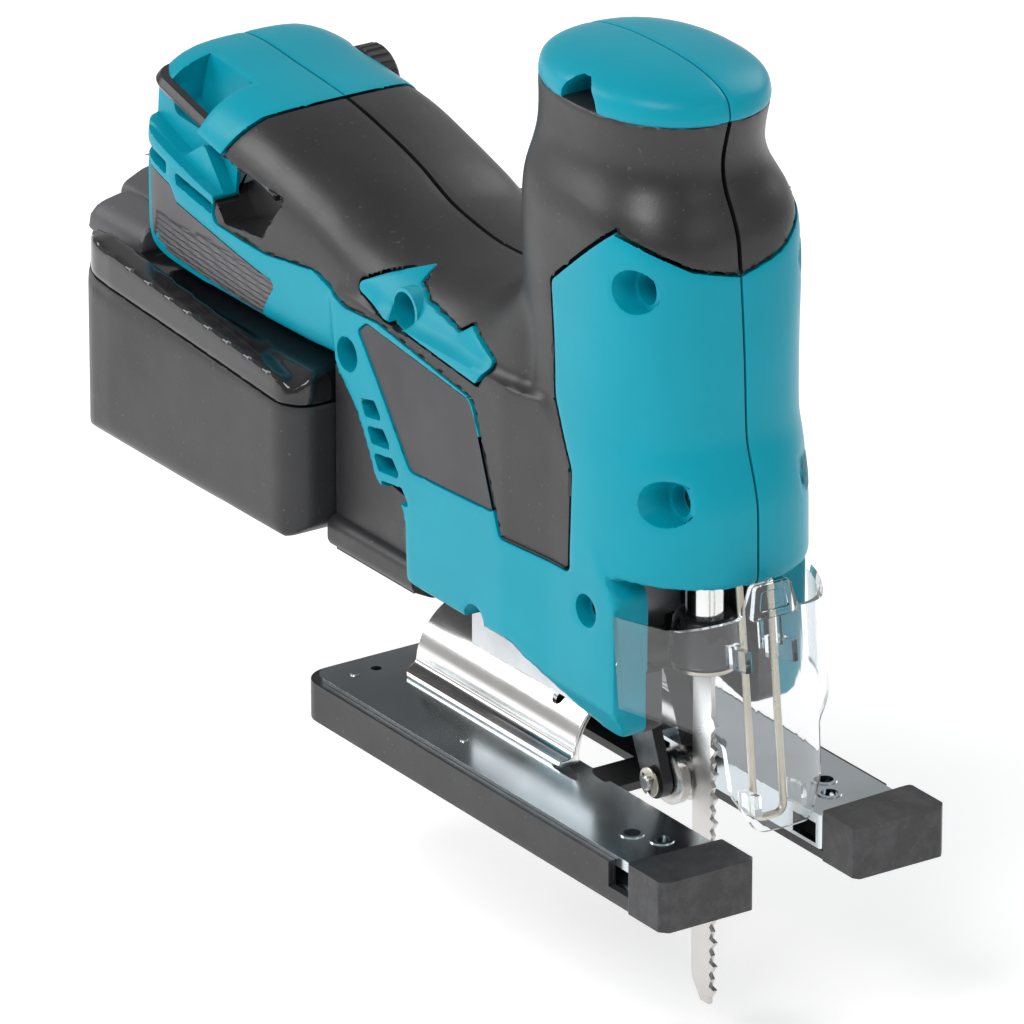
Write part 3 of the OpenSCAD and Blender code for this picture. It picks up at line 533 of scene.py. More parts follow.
def colours():
    """The scene's colour settings."""
    return bpy.context.scene.jigsaw_colours


def sizes():
    """The scene's size settings."""
    return bpy.context.scene.jigsaw_sizes


# ---- Finishes ----

FINISHES, GROUPS = {}, {}


def node_group(name, inputs, outputs):
    """Shader group with a Vector and other named inputs; returns it with its two end nodes."""
    tree = bpy.data.node_groups.new(name, "ShaderNodeTree")
    tree.interface.new_socket("Vector", in_out="INPUT", socket_type="NodeSocketVector")
    for label, value in inputs.items():
        kind = "NodeSocketFloat" if isinstance(value, float) else "NodeSocketVector"
        tree.interface.new_socket(label, in_out="INPUT", socket_type=kind).default_value = value
    for label in outputs:
        tree.interface.new_socket(label, in_out="OUTPUT", socket_type="NodeSocketFloat")
    return tree, tree.nodes.new("NodeGroupInput"), tree.nodes.new("NodeGroupOutput")


def feed(tree, socket, value):
    """Gives an input its value: another socket, a number or a colour."""
    if hasattr(value, "is_output"):
        tree.links.new(value, socket)
    elif isinstance(value, (int, float)):
        socket.default_value = value
    else:
        socket.default_value = (*value, 1)


def noise(tree, vector, scale, detail, roughness):
    """Value of a noise texture."""
    node = tree.nodes.new("ShaderNodeTexNoise")
    for key, value in (("Vector", vector), ("Scale", scale), ("Detail", detail), ("Roughness", roughness)):
        feed(tree, node.inputs[key], value)
    return node.outputs["Fac"]


def ramp(tree, value, low, high, to_low=0.0, to_high=1.0):
    """Stretches a value from one range to another, clamped."""
    node = tree.nodes.new("ShaderNodeMapRange")
    keys = ("Value", "From Min", "From Max", "To Min", "To Max")
    for key, v in zip(keys, (value, low, high, to_low, to_high)):
        feed(tree, node.inputs[key], v)
    return node.outputs["Result"]


def calculate(tree, operation, a, b):
    """Result of a math node."""
    node = tree.nodes.new("ShaderNodeMath")
    node.operation = operation
    for socket, v in zip(node.inputs, (a, b)):
        feed(tree, socket, v)
    return node.outputs[0]


def grain_group():
    """Fine moulded grain, with a slow mottle for the colour."""
    tree, start, end = node_group("Moulded grain", {"Grain": 2500.0, "Mottle": 45.0}, ["Height", "Tone"])
    vector = start.outputs["Vector"]
    tree.links.new(noise(tree, vector, start.outputs["Grain"], 4, 0.6), end.inputs["Height"])
    tree.links.new(noise(tree, vector, start.outputs["Mottle"], 5, 0.6), end.inputs["Tone"])
    return tree


def wear_group():
    """Worn edges, broken up by noise."""
    tree, start, end = node_group("Edge wear", {"Start": 0.53, "Breakup": 220.0}, ["Mask"])
    edge = tree.nodes.new("ShaderNodeNewGeometry").outputs["Pointiness"]
    full = calculate(tree, "ADD", start.outputs["Start"], 0.06)
    sharp = ramp(tree, edge, start.outputs["Start"], full)
    patchy = ramp(tree, noise(tree, start.outputs["Vector"], start.outputs["Breakup"], 5, 0.7), 0.42, 0.62)
    tree.links.new(calculate(tree, "MULTIPLY", sharp, patchy), end.inputs["Mask"])
    return tree


def handling_group():
    """Smears and fine rubbing from hands and dust."""
    tree, start, end = node_group("Handling", {"Smear": 30.0, "Dust": 900.0}, ["Smear", "Dust"])
    vector = start.outputs["Vector"]
    tree.links.new(noise(tree, vector, start.outputs["Smear"], 6, 0.65), end.inputs["Smear"])
    specks = ramp(tree, noise(tree, vector, start.outputs["Dust"], 2, 0.5), 0.68, 0.76)
    tree.links.new(specks, end.inputs["Dust"])
    return tree


def brushed_group():
    """Fine lines left by rolling or grinding, along one direction."""
    tree, start, end = node_group("Ground metal", {"Stretch": (1, 40, 40), "Scale": 60.0}, ["Height", "Tone"])
    node = tree.nodes.new("ShaderNodeVectorMath")
    node.operation = "MULTIPLY"
    tree.links.new(start.outputs["Vector"], node.inputs[0])
    tree.links.new(start.outputs["Stretch"], node.inputs[1])
    tree.links.new(noise(tree, node.outputs[0], start.outputs["Scale"], 5, 0.6), end.inputs["Height"])
    tree.links.new(noise(tree, start.outputs["Vector"], 25.0, 4, 0.6), end.inputs["Tone"])
    return tree


def use_group(tree, group, vector, **values):
    """Node of a shared group with some of its inputs set."""
    node = tree.nodes.new("ShaderNodeGroup")
    node.node_tree = group
    tree.links.new(vector, node.inputs["Vector"])
    for key, value in values.items():
        node.inputs[key].default_value = value
    return node


def mixed(tree, share, first, second):
    """Colour between two others; each is a socket or a colour."""
    node = tree.nodes.new("ShaderNodeMix")
    node.data_type = "RGBA"
    for key, kind, value in (("Factor", "VALUE", share), ("A", "RGBA", first), ("B", "RGBA", second)):
        feed(tree, next(s for s in node.inputs if (s.name, s.type) == (key, kind)), value)
    return next(s for s in node.outputs if s.type == "RGBA")


def new_material(name, **values):
    """Node material of that name, with its tree and its shader; the values go on the shader's own sockets."""
    material = bpy.data.materials.new(name)
    material.use_nodes = True
    shader = material.node_tree.nodes["Principled BSDF"]
    for key, value in values.items():
        shader.inputs[key.replace("_", " ")].default_value = value
    return material, material.node_tree, shader


def finish(
    name, colour, rough, metallic=0.0, grain=2500.0, depth=0.02, tone=0.12, wear=0.0, dust=0.0,
    stretch=None, coat=0.0, specular=0.5, spread=0.08, worn=None,
):  # fmt: skip
    """Material with grain, mottled colour, uneven roughness and worn edges."""
    material, tree, shader = new_material(
        name, Metallic=metallic, Specular_IOR_Level=specular, Coat_Weight=coat, Coat_Roughness=0.08
    )
    vector = tree.nodes.new("ShaderNodeTexCoord").outputs["Object"]
    if stretch:
        pattern = use_group(tree, GROUPS["ground"], vector, Stretch=stretch)
    else:
        pattern = use_group(tree, GROUPS["grain"], vector, Grain=grain)
    hands = use_group(tree, GROUPS["handling"], vector)
    darker = tuple(c * (1 - tone) for c in colour)
    lighter = tuple(min(1, c * (1 + tone)) for c in colour)
    base = mixed(tree, ramp(tree, pattern.outputs["Tone"], 0.35, 0.65), darker, lighter)
    if dust:
        share = calculate(tree, "MULTIPLY", hands.outputs["Dust"], dust)
        base = mixed(tree, share, base, (0.45, 0.44, 0.42))
    if wear:
        edge = use_group(tree, GROUPS["wear"], vector)
        share = calculate(tree, "MULTIPLY", edge.outputs["Mask"], wear)
        base = mixed(tree, share, base, worn or tuple(min(1, 0.12 + 1.5 * c) for c in colour))
    tree.links.new(base, shader.inputs["Base Color"])
    smears = ramp(tree, hands.outputs["Smear"], 0.3, 0.7, rough - spread, rough + spread)
    tree.links.new(smears, shader.inputs["Roughness"])
    bump = tree.nodes.new("ShaderNodeBump")
    for key, value in (("Strength", 0.35), ("Distance", depth * MM), ("Height", pattern.outputs["Height"])):
        feed(tree, bump.inputs[key], value)
    tree.links.new(bump.outputs["Normal"], shader.inputs["Normal"])
    FINISHES[name] = material


def clear_finish(name):
    """Clear moulded plastic with faint smears."""
    material, tree, shader = new_material(
        name, Base_Color=(0.97, 0.985, 1.0, 1), Transmission_Weight=1.0, IOR=1.28, Coat_Weight=0.7, Coat_Roughness=0.03
    )
    vector = tree.nodes.new("ShaderNodeTexCoord").outputs["Object"]
    hands = use_group(tree, GROUPS["handling"], vector, Smear=60.0)
    tree.links.new(ramp(tree, hands.outputs["Smear"], 0.45, 0.75, 0.02, 0.12), shader.inputs["Roughness"])
    FINISHES[name] = material


def make_finishes():
    """All the finishes, from the colours in the panel."""
    c = colours()
    GROUPS.update(grain=grain_group(), wear=wear_group(), handling=handling_group(), ground=brushed_group())
    shell, rubber, black, gloss = tuple(c.shell), tuple(c.rubber), tuple(c.black), tuple(c.gloss)
    finish("teal_plastic", shell, 0.34, grain=1800, depth=0.03, tone=0.03, wear=0.25, spread=0.05,
           specular=0.22, worn=(0.08, 0.5, 0.6))  # fmt: skip
    finish("grip_rubber", rubber, 0.4, grain=1400, depth=0.07, tone=0.2, dust=0.1, spread=0.08, specular=0.6)
    finish("black_plastic", black, 0.42, grain=1500, depth=0.07, tone=0.2, wear=0.3, dust=0.1,
           worn=(0.09, 0.09, 0.095))  # fmt: skip
    finish("gloss_black", gloss, 0.14, grain=900, depth=0.01, tone=0.2, coat=0.3, spread=0.05)
    finish("grey_plastic", tuple(c.grey), 0.38, grain=1600, depth=0.05, tone=0.12, dust=0.1)
    finish("label", tuple(c.label), 0.42, grain=2200, depth=0.03, tone=0.15)
    finish("plated_steel", tuple(c.plated), 0.17, metallic=1, stretch=(1, 30, 30), depth=0.006, tone=0.1, spread=0.06)
    finish("bright_steel", tuple(c.steel), 0.16, metallic=1, stretch=(2, 25, 25), depth=0.008, tone=0.05, spread=0.05)
    finish("machined_steel", (0.58, 0.57, 0.56), 0.27, metallic=1, stretch=(30, 3, 30), depth=0.01, tone=0.08)
    finish("black_steel", (0.025, 0.025, 0.028), 0.3, metallic=0.3, grain=1200, depth=0.03, tone=0.2, wear=0.35)
    finish("cast_aluminium", (0.6, 0.6, 0.61), 0.42, metallic=1, grain=1100, depth=0.12, tone=0.1)
    finish("sintered_bronze", (0.55, 0.37, 0.17), 0.45, metallic=1, grain=2600, depth=0.06, tone=0.15)
    finish("circuit", (0.01, 0.12, 0.05), 0.3, grain=1500, depth=0.02, tone=0.15, coat=0.4)
    finish("cell_wrap", (0.05, 0.2, 0.42), 0.35, grain=600, depth=0.02, tone=0.06)
    finish("contact_metal", (0.83, 0.62, 0.28), 0.25, metallic=1, stretch=(20, 3, 20), depth=0.006, tone=0.06)
    finish("spring_steel", (0.5, 0.46, 0.38), 0.3, metallic=1, stretch=(3, 30, 30), depth=0.008, tone=0.08)
    finish("blade_steel", (0.62, 0.6, 0.58), 0.3, metallic=1, stretch=(2, 25, 3), depth=0.01, tone=0.08)
    clear_finish("clear_plastic")


# ---- Shell ----

# Barrel: [x, bottom z, top z, half width, roundness]
BARREL = [
    [-161, 92, 130, 22, 3.0],
    [-160, 88.5, 134.2, 25, 3.2],
    [-157, 86, 136.6, 27, 3.4],
    [-150, 85, 137.2, 28, 3.4],
    [-132, 84.5, 135.8, 28.6, 3.2],
    [-111, 84.5, 133.8, 29, 3.0],
    [-96, 84.5, 130.8, 28.6, 2.8],
    [-82, 84, 127.1, 28.2, 2.7],
    [-65, 80, 121.0, 28, 2.7],
    [-45, 68, 118.4, 28, 2.7],
    [-30, 62, 119.0, 28, 2.7],
    [-18, 60, 124.0, 27.6, 2.7],
    [-6, 60, 136.0, 26.5, 2.7],
    [4, 62, 148.0, 24, 2.7],
]
# Tower: [z, rear x, front x, half width, roundness]
TOWER = [
    [69, -14, 56.0, 27.2, 2.3],
    [86.5, -15, 55.7, 27.2, 2.3],
    [92, -16, 54.6, 27.2, 2.3],
    [97, -16, 52.9, 27.1, 2.35],
    [103, -16, 51.0, 26.8, 2.4],
    [121, -16, 50.0, 26.4, 2.6],
    [141, -16, 48.3, 26.6, 2.9],
    [149, -16, 47.4, 26.6, 2.8],
    [155, -16, 44.8, 25.6, 2.7],
    [160, -16, 41.9, 23.6, 2.5],
    [165, -16, 41.0, 22.2, 2.4],
    [170, -16.2, 42.0, 22.4, 2.3],
    [176.5, -16.5, 44.0, 23.0, 2.25],
]
# Lower body from the side, from above and from the front
LOWER_SIDE = [(-76, 104), (-74, 84.5, 5), (-66.5, 79, 6), (-56.5, 61.5, 5), (-45.5, 60, 4), (-44.5, 41),
              (-3, 41, 6), (21, 31, 5), (29, 29.4), (34, 28.8, 2), (37.5, 31, 2), (37.5, 64), (32, 70),
              (10, 104)]  # fmt: skip
LOWER_PLAN = [(-100, 29), (-5, 29), (12, 27.2), (30, 27), (41, 26.3, 4), (49, 22)]
LOWER_SECTION = [(22, 27.5), (29, 41, 3), (29, 120)]
# Grip rubber as a side outline, and the line over the tower's front as (half width, z)
RUBBER_SIDE = [(-5.5, 66), (19.4, 66), (20.4, 91, 6), (13, 106, 10), (11, 134, 3), (34, 152.6), (34, 180), (-60, 180),
               (-104, 160), (-111, 134.5), (-117, 131), (-124.5, 120), (-126.5, 104.4, 2), (-104, 103.6, 6),
               (-84, 105.8, 8), (-70, 101.4, 6), (-56, 102), (-17, 96.2, 5)]  # fmt: skip
RUBBER_FRONT = [(0, 141), (12, 144), (20, 148.5), (28, 154)]
FRONT_LINE_X = 33.5
# The head cap: middle in x, half sizes, underside, rise of the dome and its roundness
HEAD_CENTRE, HEAD_HALF_L, HEAD_HALF_W, HEAD_LOW, HEAD_RISE, HEAD_ROUND = 13.8, 29.8, 22.6, 175.2, 7.7, 2.3
# Power added to the underside of the barrel at its square rear end, and where it starts and is full
BOX_SHARE, BOX_START, BOX_LENGTH = 6.0, -66, 24
HALF_GAP = 0.14
# Screws: (x, z, radius of the countersink, depth from the widest point)
SINKS = [(-68.7, 89.8, 4.0, 16), (-48.1, 106.9, 4.4, 16), (38.5, 138.6, 5.0, 19), (46.5, 89.5, 5.2, 15)]
LEG_SCREW = (26.4, 58.6)
# Room between the legs whose faces get painted shade, in the black plastic finish
PAINTED_SHADE_REAR, PAINTED_SHADE_FRONT, PAINTED_SHADE_HALF, PAINTED_SHADE_TOP = -43, 60, 17.4, 68


def barrel_ring(row):
    """Section of the barrel, its underside squarer towards the rear."""
    x, low, high, half, power = row
    square = min(1.0, max(0.0, (BOX_START - x) / BOX_LENGTH))
    upper, lower = (oval(half, (high - low) / 2, p) for p in (power, power + BOX_SHARE * square))
    ring = np.where(upper[:, 1:] >= 0, upper, lower)
    return in_plane(ring + [0, (high + low) / 2], "x", x)


def tower_ring(row):
    """Section of the tower."""
    z, rear, front, half, power = row
    return in_plane(oval((front - rear) / 2, half, power) + [(front + rear) / 2, 0], "z", z)


def lower_block():
    """The lower body with its legs, from its three outlines."""
    obj = prism("lower", rounded(LOWER_SIDE, 2.5), "y", -30, 30)
    plan = prism("plan", mirrored(rounded([(-100, 0, 0)] + LOWER_PLAN + [(49, 0, 0)], 8)[1:-1]), "z", 0, 130)
    right = [(-w, z) for w, z, *r in LOWER_SECTION]
    left = [(w, z) for w, z, *r in reversed(LOWER_SECTION)]
    return keep_inside(obj, plan, prism("section", right + left, "x", -100, 100))


def body_surface(cell):
    """Outer surface of the body as one even, softened solid."""
    obj = loft("body", [barrel_ring(r) for r in fill_in(BARREL, 3)])
    add(obj, loft("tower", [tower_ring(r) for r in fill_in(TOWER, 2)]), lower_block())
    remesh(obj, cell)
    relax(obj, 4)
    waist = [(x, y, z) for y in range(-26, 27, 4) for x, z in ((-22, 121), (-14, 127), (-9, 136))]
    return relax(obj, 60, near=waist, reach=17)


def inner_space():
    """Cutters for the rooms inside the body."""
    stator, gear, frame_low = node_box("motor_stator"), node_box("crank_gear"), node_box("gear_housing")
    plunger, controller, terminal = node_box("plunger"), node_box("controller"), node_box("terminal_block")
    motor_z = (stator[0].z + stator[1].z) / 2
    motor_r = (stator[1].z - stator[0].z) / 2
    floor_z = 66.5  # floor of the gear room
    return [
        rod("motor", (stator[0].x - 16, 0, motor_z), (gear[0].x, 0, motor_z), motor_r + 0.3),
        block("electronics", (-150, -18.6, 88), (-91, 18.6, 119)),
        block("wiring", (-92, -12, 98), (-44, 12, 110)),
        block("gears", (frame_low[0].x + 37, -21.8, floor_z), (gear[1].x + 1, 21.8, frame_low[1].z + 1)),
        block("yoke room", (gear[1].x, -19.4, floor_z), (plunger[1].x + 1, 19.4, 131)),
        block("guide", (-6, -12, frame_low[1].z - 8), (plunger[1].x + 1, 12, plunger[1].z + 12.5)),
        block("underside", (-44, -13, 0), (80, 13, floor_z + 1)),
        block("front underside", (10, -17, 45), (80, 17, floor_z + 1)),
        block("battery seat", (-200, -40, 0), (-78.8, 40, 84.3)),
        block("terminals", (terminal[0].x - 1, -18, 80), (terminal[1].x + 1, 18, 92)),
    ]


def sink(x, z, radius, floor):
    """Stepped countersink down the right side, with its screw hole."""
    wide = rod("sink", (x, -40, z), (x, -floor, z), radius)
    return add(wide, rod("hole", (x, -floor - 1, z), (x, -12, z), 3.4))


# Side outlines of the panels and openings
VENT_COVER = [(-161.4, 111.3), (-156, 108.6), (-146.2, 106.6, 1.5), (-143.6, 103.2, 1.5), (-100.3, 96.8, 1),
              (-109, 84.9, 1), (-155.6, 85.4, 1), (-159.4, 98)]  # fmt: skip
PLATE = [(-63.8, 97.2, 1), (-60.5, 99.8, 2), (-18.5, 95.0, 3), (-5.5, 71.4, 3), (-42.5, 69.6, 3), (-54.5, 85.5, 2)]
ARROW = [(-68.1, 107.4, 1.5), (-58.7, 112.4, 3), (-48.7, 116.2, 1), (-48.1, 112.8, 0.5), (-42.8, 110.4, 0.5),
         (-27.7, 107.9, 0.5), (-23.8, 110.7, 0.5), (-10.3, 106.3, 1.5), (-15.2, 100.2, 1), (-43.5, 103.2, 1),
         (-53.4, 103.6, 2)]  # fmt: skip
WRENCH_CHANNEL = [(-164, 131.5), (-158.5, 130.6), (-138, 123.8), (-119, 120.4), (-97.5, 118.4), (-105, 108),
                  (-125.6, 109.6), (-134.8, 120.4, 2), (-144, 114.6, 3), (-164, 121)]  # fmt: skip
FINGER_SCOOP = [(-153.5, 122), (-150.5, 133, 3), (-147, 141), (-128.5, 141), (-134.5, 125, 3), (-138, 121)]
WRENCH_LEDGE = [(-164, 124), (-143, 117.5), (-134, 121.4), (-123, 118.5), (-126, 110.5), (-134, 112), (-144, 114.3),
                (-164, 119)]  # fmt: skip
WRENCH_POCKET = [(-125.7, 111.4), (-114.6, 117.4), (-97.2, 118.6), (-105.5, 107.2), (-121, 105.6)]
REAR_SLOTS = (
    [(-160.8, 114.4), (-147.9, 112), (-147.9, 109.2), (-160.2, 111.6)],
    [(-143.6, 110.8), (-126.9, 108.4), (-127, 105.9), (-143, 108.2)],
)


def grow(outline, amount):
    """Outline moved outward by an amount along its corner normals."""
    p = np.array([q[:2] for q in outline], float)
    area = np.sum(p[:, 0] * np.roll(p[:, 1], -1) - np.roll(p[:, 0], -1) * p[:, 1])
    before, after = p - np.roll(p, 1, 0), np.roll(p, -1, 0) - p
    n = [np.stack([e[:, 1], -e[:, 0]], 1) / np.linalg.norm(e, axis=1)[:, None] for e in (before, after)]
    middle = n[0] + n[1]
    middle /= np.maximum(np.sum(middle * n[0], 1), 0.4)[:, None]
    return [tuple(q) for q in p + middle * amount * (1 if area > 0 else -1)]


def side_cuts(side):
    """Cutters on both sides of the shell, for the right half where side is -1."""
    slots = [(outline, 20) for outline in REAR_SLOTS]
    for i in range(4):
        x, z, width = -63 + 2.7 * i, 80.6 - 5.9 * i, 5.4 + 1.1 * i
        slots.insert(i, ([(x, z), (x + width, z + 1.1), (x + width + 3.2, z - 2.6), (x + 2.0, z - 3.4)], 22))
    tools = [prism("slot", rounded(outline, 0.7, 3), "y", *span(side, floor, 40)) for outline, floor in slots]
    for screw in SINKS:
        tool = sink(*screw)
        tools.append(tool if side < 0 else place(tool, Matrix.Scale(-1, 4, (0, 1, 0))))
    x, z = LEG_SCREW
    tools.append(rod("leg screw", (x, side * 40, z), (x, side * 23.4, z), 3.7))
    tools.append(rod("edge notch", (-16.2, side * 40, 41.4), (-16.2, side * 24, 41.4), 3.9))
    return tools


def right_cuts():
    """Wrench channel, finger scoop and pocket on the right of the barrel."""
    outlines = ((WRENCH_CHANNEL, 1, 22.2), (FINGER_SCOOP, 2, 14.5), (WRENCH_LEDGE, 1, 25.6), (WRENCH_POCKET, 1, 20.2))
    return [prism("hollow", rounded(outline, corner), "y", -40, -floor) for outline, corner, floor in outlines]


def left_cuts():
    """Openings for the slide switch, the dial and the orbit lever on the left."""
    switch, dial, lever = node_middle("slide_switch"), node_middle("speed_dial"), node_middle("orbit_cam")
    travel = 6
    well, room = (
        [(x, switch.z - h), (x + length, switch.z - h), (x + length, switch.z + h), (x, switch.z + h)]
        for x, length, h in ((switch.x - 13, 26 + travel, 8), (switch.x - 12, 24 + travel, 5.3))
    )
    dial_low, dial_high = node_box("speed_dial")
    return [
        prism("switch well", rounded(well, 3), "y", 26.2, 40),
        prism("switch room", room, "y", 17.5, 27),
        rod("dial room", (dial.x, dial_low.y - 1, dial.z), (dial.x, 40, dial.z), (dial_high.z - dial_low.z) / 2 + 0.6),
        rod("lever bore", (lever.x, 0, lever.z), (lever.x, 40, lever.z), 3.8),
        rod("lever seat", (lever.x, 28.5, lever.z), (lever.x, 40, lever.z), 9),
    ]


def rubber_cutter(gap):
    """Region of the body that the soft grip covers, grown by a gap."""
    side = prism("rubber side", grow(rounded(RUBBER_SIDE, 1.5), gap), "y", -60, 60)
    keep_inside(side, block("behind", (-240, -60, 40), (FRONT_LINE_X, 60, 200)))
    line = [(-w, z - gap) for w, z in reversed(RUBBER_FRONT[1:])] + [(w, z - gap) for w, z in RUBBER_FRONT]
    front = prism("rubber front", line + [(60, 160), (60, 190), (-60, 190), (-60, 160)], "x", FRONT_LINE_X - 0.02, 90)
    return add(side, front)


def head_cap():
    """Domed cap of the head, with a lip round its underside."""
    rows = [(0, 0.955), (0.4, 0.985), (1.0, 1.0), (2.6, 1.0), (3.1, 0.992)]
    lip, share = rows[-1]
    for k in range(1, 24):
        t, power = math.pi / 2 * k / 24, 2 / HEAD_ROUND
        rows.append((lip + HEAD_RISE * math.sin(t) ** power, share * math.cos(t) ** power))
    plans = [(oval(HEAD_HALF_L * size, HEAD_HALF_W * size, 2.25) + [HEAD_CENTRE, 0], z) for z, size in rows]
    obj = remesh(loft("head_cap", [in_plane(plan, "z", HEAD_LOW + z) for plan, z in plans]), 0.7)
    relax(obj, 2)
    notch = [(9.4, 171), (22.4, 171), (22.4, 178), (15.9, 184.4, 5.5), (9.4, 178)]
    for side in (-1, 1):
        cut(obj, prism("notch", rounded(notch, 5, 10), "y", *span(side, 13.2, 40)))
    return obj


def halves(obj, name, gap):
    """Right and left halves of a solid, with half a seam between them."""
    left = copy_of(obj, name + "_left")
    keep_inside(obj, block("right", (-300, -100, -50), (200, -gap / 2, 300)))
    keep_inside(left, block("left", (-300, gap / 2, -50), (200, 100, 300)))
    obj.name = name + "_right"
    return obj, left


def paint_shade_between_legs(shell):
    """Gives the hidden faces between the legs the black plastic finish as painted shade."""
    shell.data.materials.append(FINISHES["black_plastic"])
    for face in shell.data.polygons:
        x, y, z = face.center / MM
        if PAINTED_SHADE_REAR < x < PAINTED_SHADE_FRONT and abs(y) < PAINTED_SHADE_HALF and z < PAINTED_SHADE_TOP:
            face.material_index = 1


def vent_relief(x, z):
    """Height over the face of a vent cover: fine ribs under a smooth band."""
    band = 98.6 - 0.04 * (x + 160) + (1.2 if x > -135 else 0)
    if z > band or x < -156.5 + 0.25 * (z - 85):
        return 0.0
    wave = 0.5 + 0.5 * math.cos(2 * math.pi * (z + 0.06 * (x + 130)) / sizes().rib_pitch)
    return -0.15 - sizes().rib_depth * wave


class JIGSAW_OT_shell(bpy.types.Operator):
    """Builds the clamshell halves, the soft grip, the head cap and what is let into them"""

    bl_idname = "jigsaw.shell"
    bl_label = "Shell and grip"

    def execute(self, context):
        s = sizes()
        body = body_surface(s.shell_cell)
        surface = copy_of(body, "surface")
        cut(body, *inner_space())
        grip = copy_of(body, "grip")
        keep_inside(grip, rubber_cutter(0))
        cut(body, rubber_cutter(s.seam))
        shells, grips = halves(body, "shell", HALF_GAP), halves(grip, "grip_rubber", HALF_GAP)
        caps = halves(head_cap(), "head_cap", HALF_GAP)
        for (shell, grip_half, cap), side in zip(zip(shells, grips, caps), (-1, 1)):
            name = "right" if side < 0 else "left"
            for piece in (shell, grip_half):
                cut(piece, *side_cuts(side), *(right_cuts() if side < 0 else left_cuts()))
            cut(shell, prism("cover bed", grow(rounded(VENT_COVER, 1), 0.3), "y", *span(side, 26.4, 45)))
            if side < 0:
                cut(grip_half, prism("arrow bed", grow(rounded(ARROW, 1), s.seam), "y", -45, -20))
                bed = drape("bed", grow(rounded(PLATE, 1.5), 0.25), surface, side, 2, 3.1, 1.2)
                cut(shell, bed)
            outline = rounded(VENT_COVER, 1)
            cover = drape("vent_panel_" + name, outline, surface, side, -0.5, 1.8, 0.4, vent_relief)
            ease_edges(shell, 1.3, 0.35)
            ease_edges(grip_half, 1.3, 0.3)
            draw_in(grip_half, s.lip)
            ease_edges(cap, 1.0, 0.25)
            fit(shell, "body", "teal_plastic", "housing_" + name)
            # the black plastic on the faces between the legs is painted shade
            paint_shade_between_legs(shell)
            fit(cap, "body", "teal_plastic")
            fit(grip_half, "body", "grip_rubber", "grip_" + name)
            fit(cover, "body", "grey_plastic", "vent_cover_" + name, angle=50)
        arrow = drape("shell_arrow", rounded(ARROW, 1), surface, -1, s.lip * 0.6, 3, 0.8)
        x, z, radius, floor = SINKS[1]
        cut(arrow, rod("hole", (x, -60, z), (x, 60, z), radius))
        cup = lathe("arrow_cup", [(radius, 0), (radius + 0.9, 0), (radius + 0.9, 9), (0, 9), (0, 8), (radius, 8)])
        place(cup, spot(x, -26.4, z, -90, "X"))
        fit(ease_edges(arrow, 0.9, 0.25), "body", "teal_plastic")
        fit(cup, "body", "teal_plastic")
        plate = drape("rating_plate", rounded(PLATE, 1.5), surface, -1, -0.6, 0.8, 1.2)
        fit(plate, "body", "label", "nameplate")
        discard(surface)
        return {"FINISHED"}


# ---- Screws, wrench and controls ----


def phillips_screw(name, x, y, z, side, radius=3.2, length=14):
    """Pan-head screw whose cross slot faces outward on that side."""
    profile = [(0, -length), (1.5, -length + 1), (1.5, -2.2), (radius, -2.2), (radius, -0.9), (radius - 0.5, -0.2),
               (radius - 1.2, 0.05), (0, 0.1)]  # fmt: skip
    head = lathe(name, profile)
    for turn in (20, 110):
        slot = block("slot", (-0.42, -1.9, -1.1), (0.42, 1.9, 1))
        cut(head, place(slot, Matrix.Rotation(math.radians(turn), 4, "Z")))
    return place(head, spot(x, y, z, 90 if side < 0 else -90, "X"))


class JIGSAW_OT_hardware(bpy.types.Operator):
    """Adds the housing screws and the stowed hex wrench"""

    bl_idname = "jigsaw.hardware"
    bl_label = "Screws and wrench"

    def execute(self, context):
        screws = [phillips_screw("screw", x, -12.2, z, -1) for x, z, *_ in SINKS]
        screws.append(phillips_screw("screw", LEG_SCREW[0], -23.6, LEG_SCREW[1], -1, 3.1, 8))
        fit(gather("case_screws", screws), "body", "black_steel", "housing_screws")
        low, high = node_box("hex_wrench")
        flats, bend = 3.5, 4.5
        tilt = math.radians(14)
        run = Vector((math.cos(tilt), 0, -math.sin(tilt)))
        start = Vector((low.x + 1.9, low.y + 1.9, high.z - 2.2))
        end = start + run * 55
        path = [start + Vector((0, 15, 0)), start + Vector((0, bend + 1, 0))]
        for k in range(9):
            t = math.pi / 2 * k / 8
            path.append(start + run * (bend * (1 - math.cos(t))) + Vector((0, bend * (1 - math.sin(t)), 0)))
        path += [start + run * (bend + 1), end]
        up = run.cross(Vector((0, 1, 0)))
        rings = []
        for k, p in enumerate(path):
            along = (path[min(k + 1, len(path) - 1)] - path[max(k - 1, 0)]).normalized()
            across, size = along.cross(up), flats / math.sqrt(3)
            turns = [math.pi / 3 * i for i in range(6)]
            rings.append(np.array([p + (up * math.sin(a) + across * math.cos(a)) * size for a in turns]))
        wrench = round_edges(loft("hex_wrench_bent", rings), 0.25, 2, 40)
        fit(wrench, "wrench_body", "black_steel", "hex_wrench")
        return {"FINISHED"}


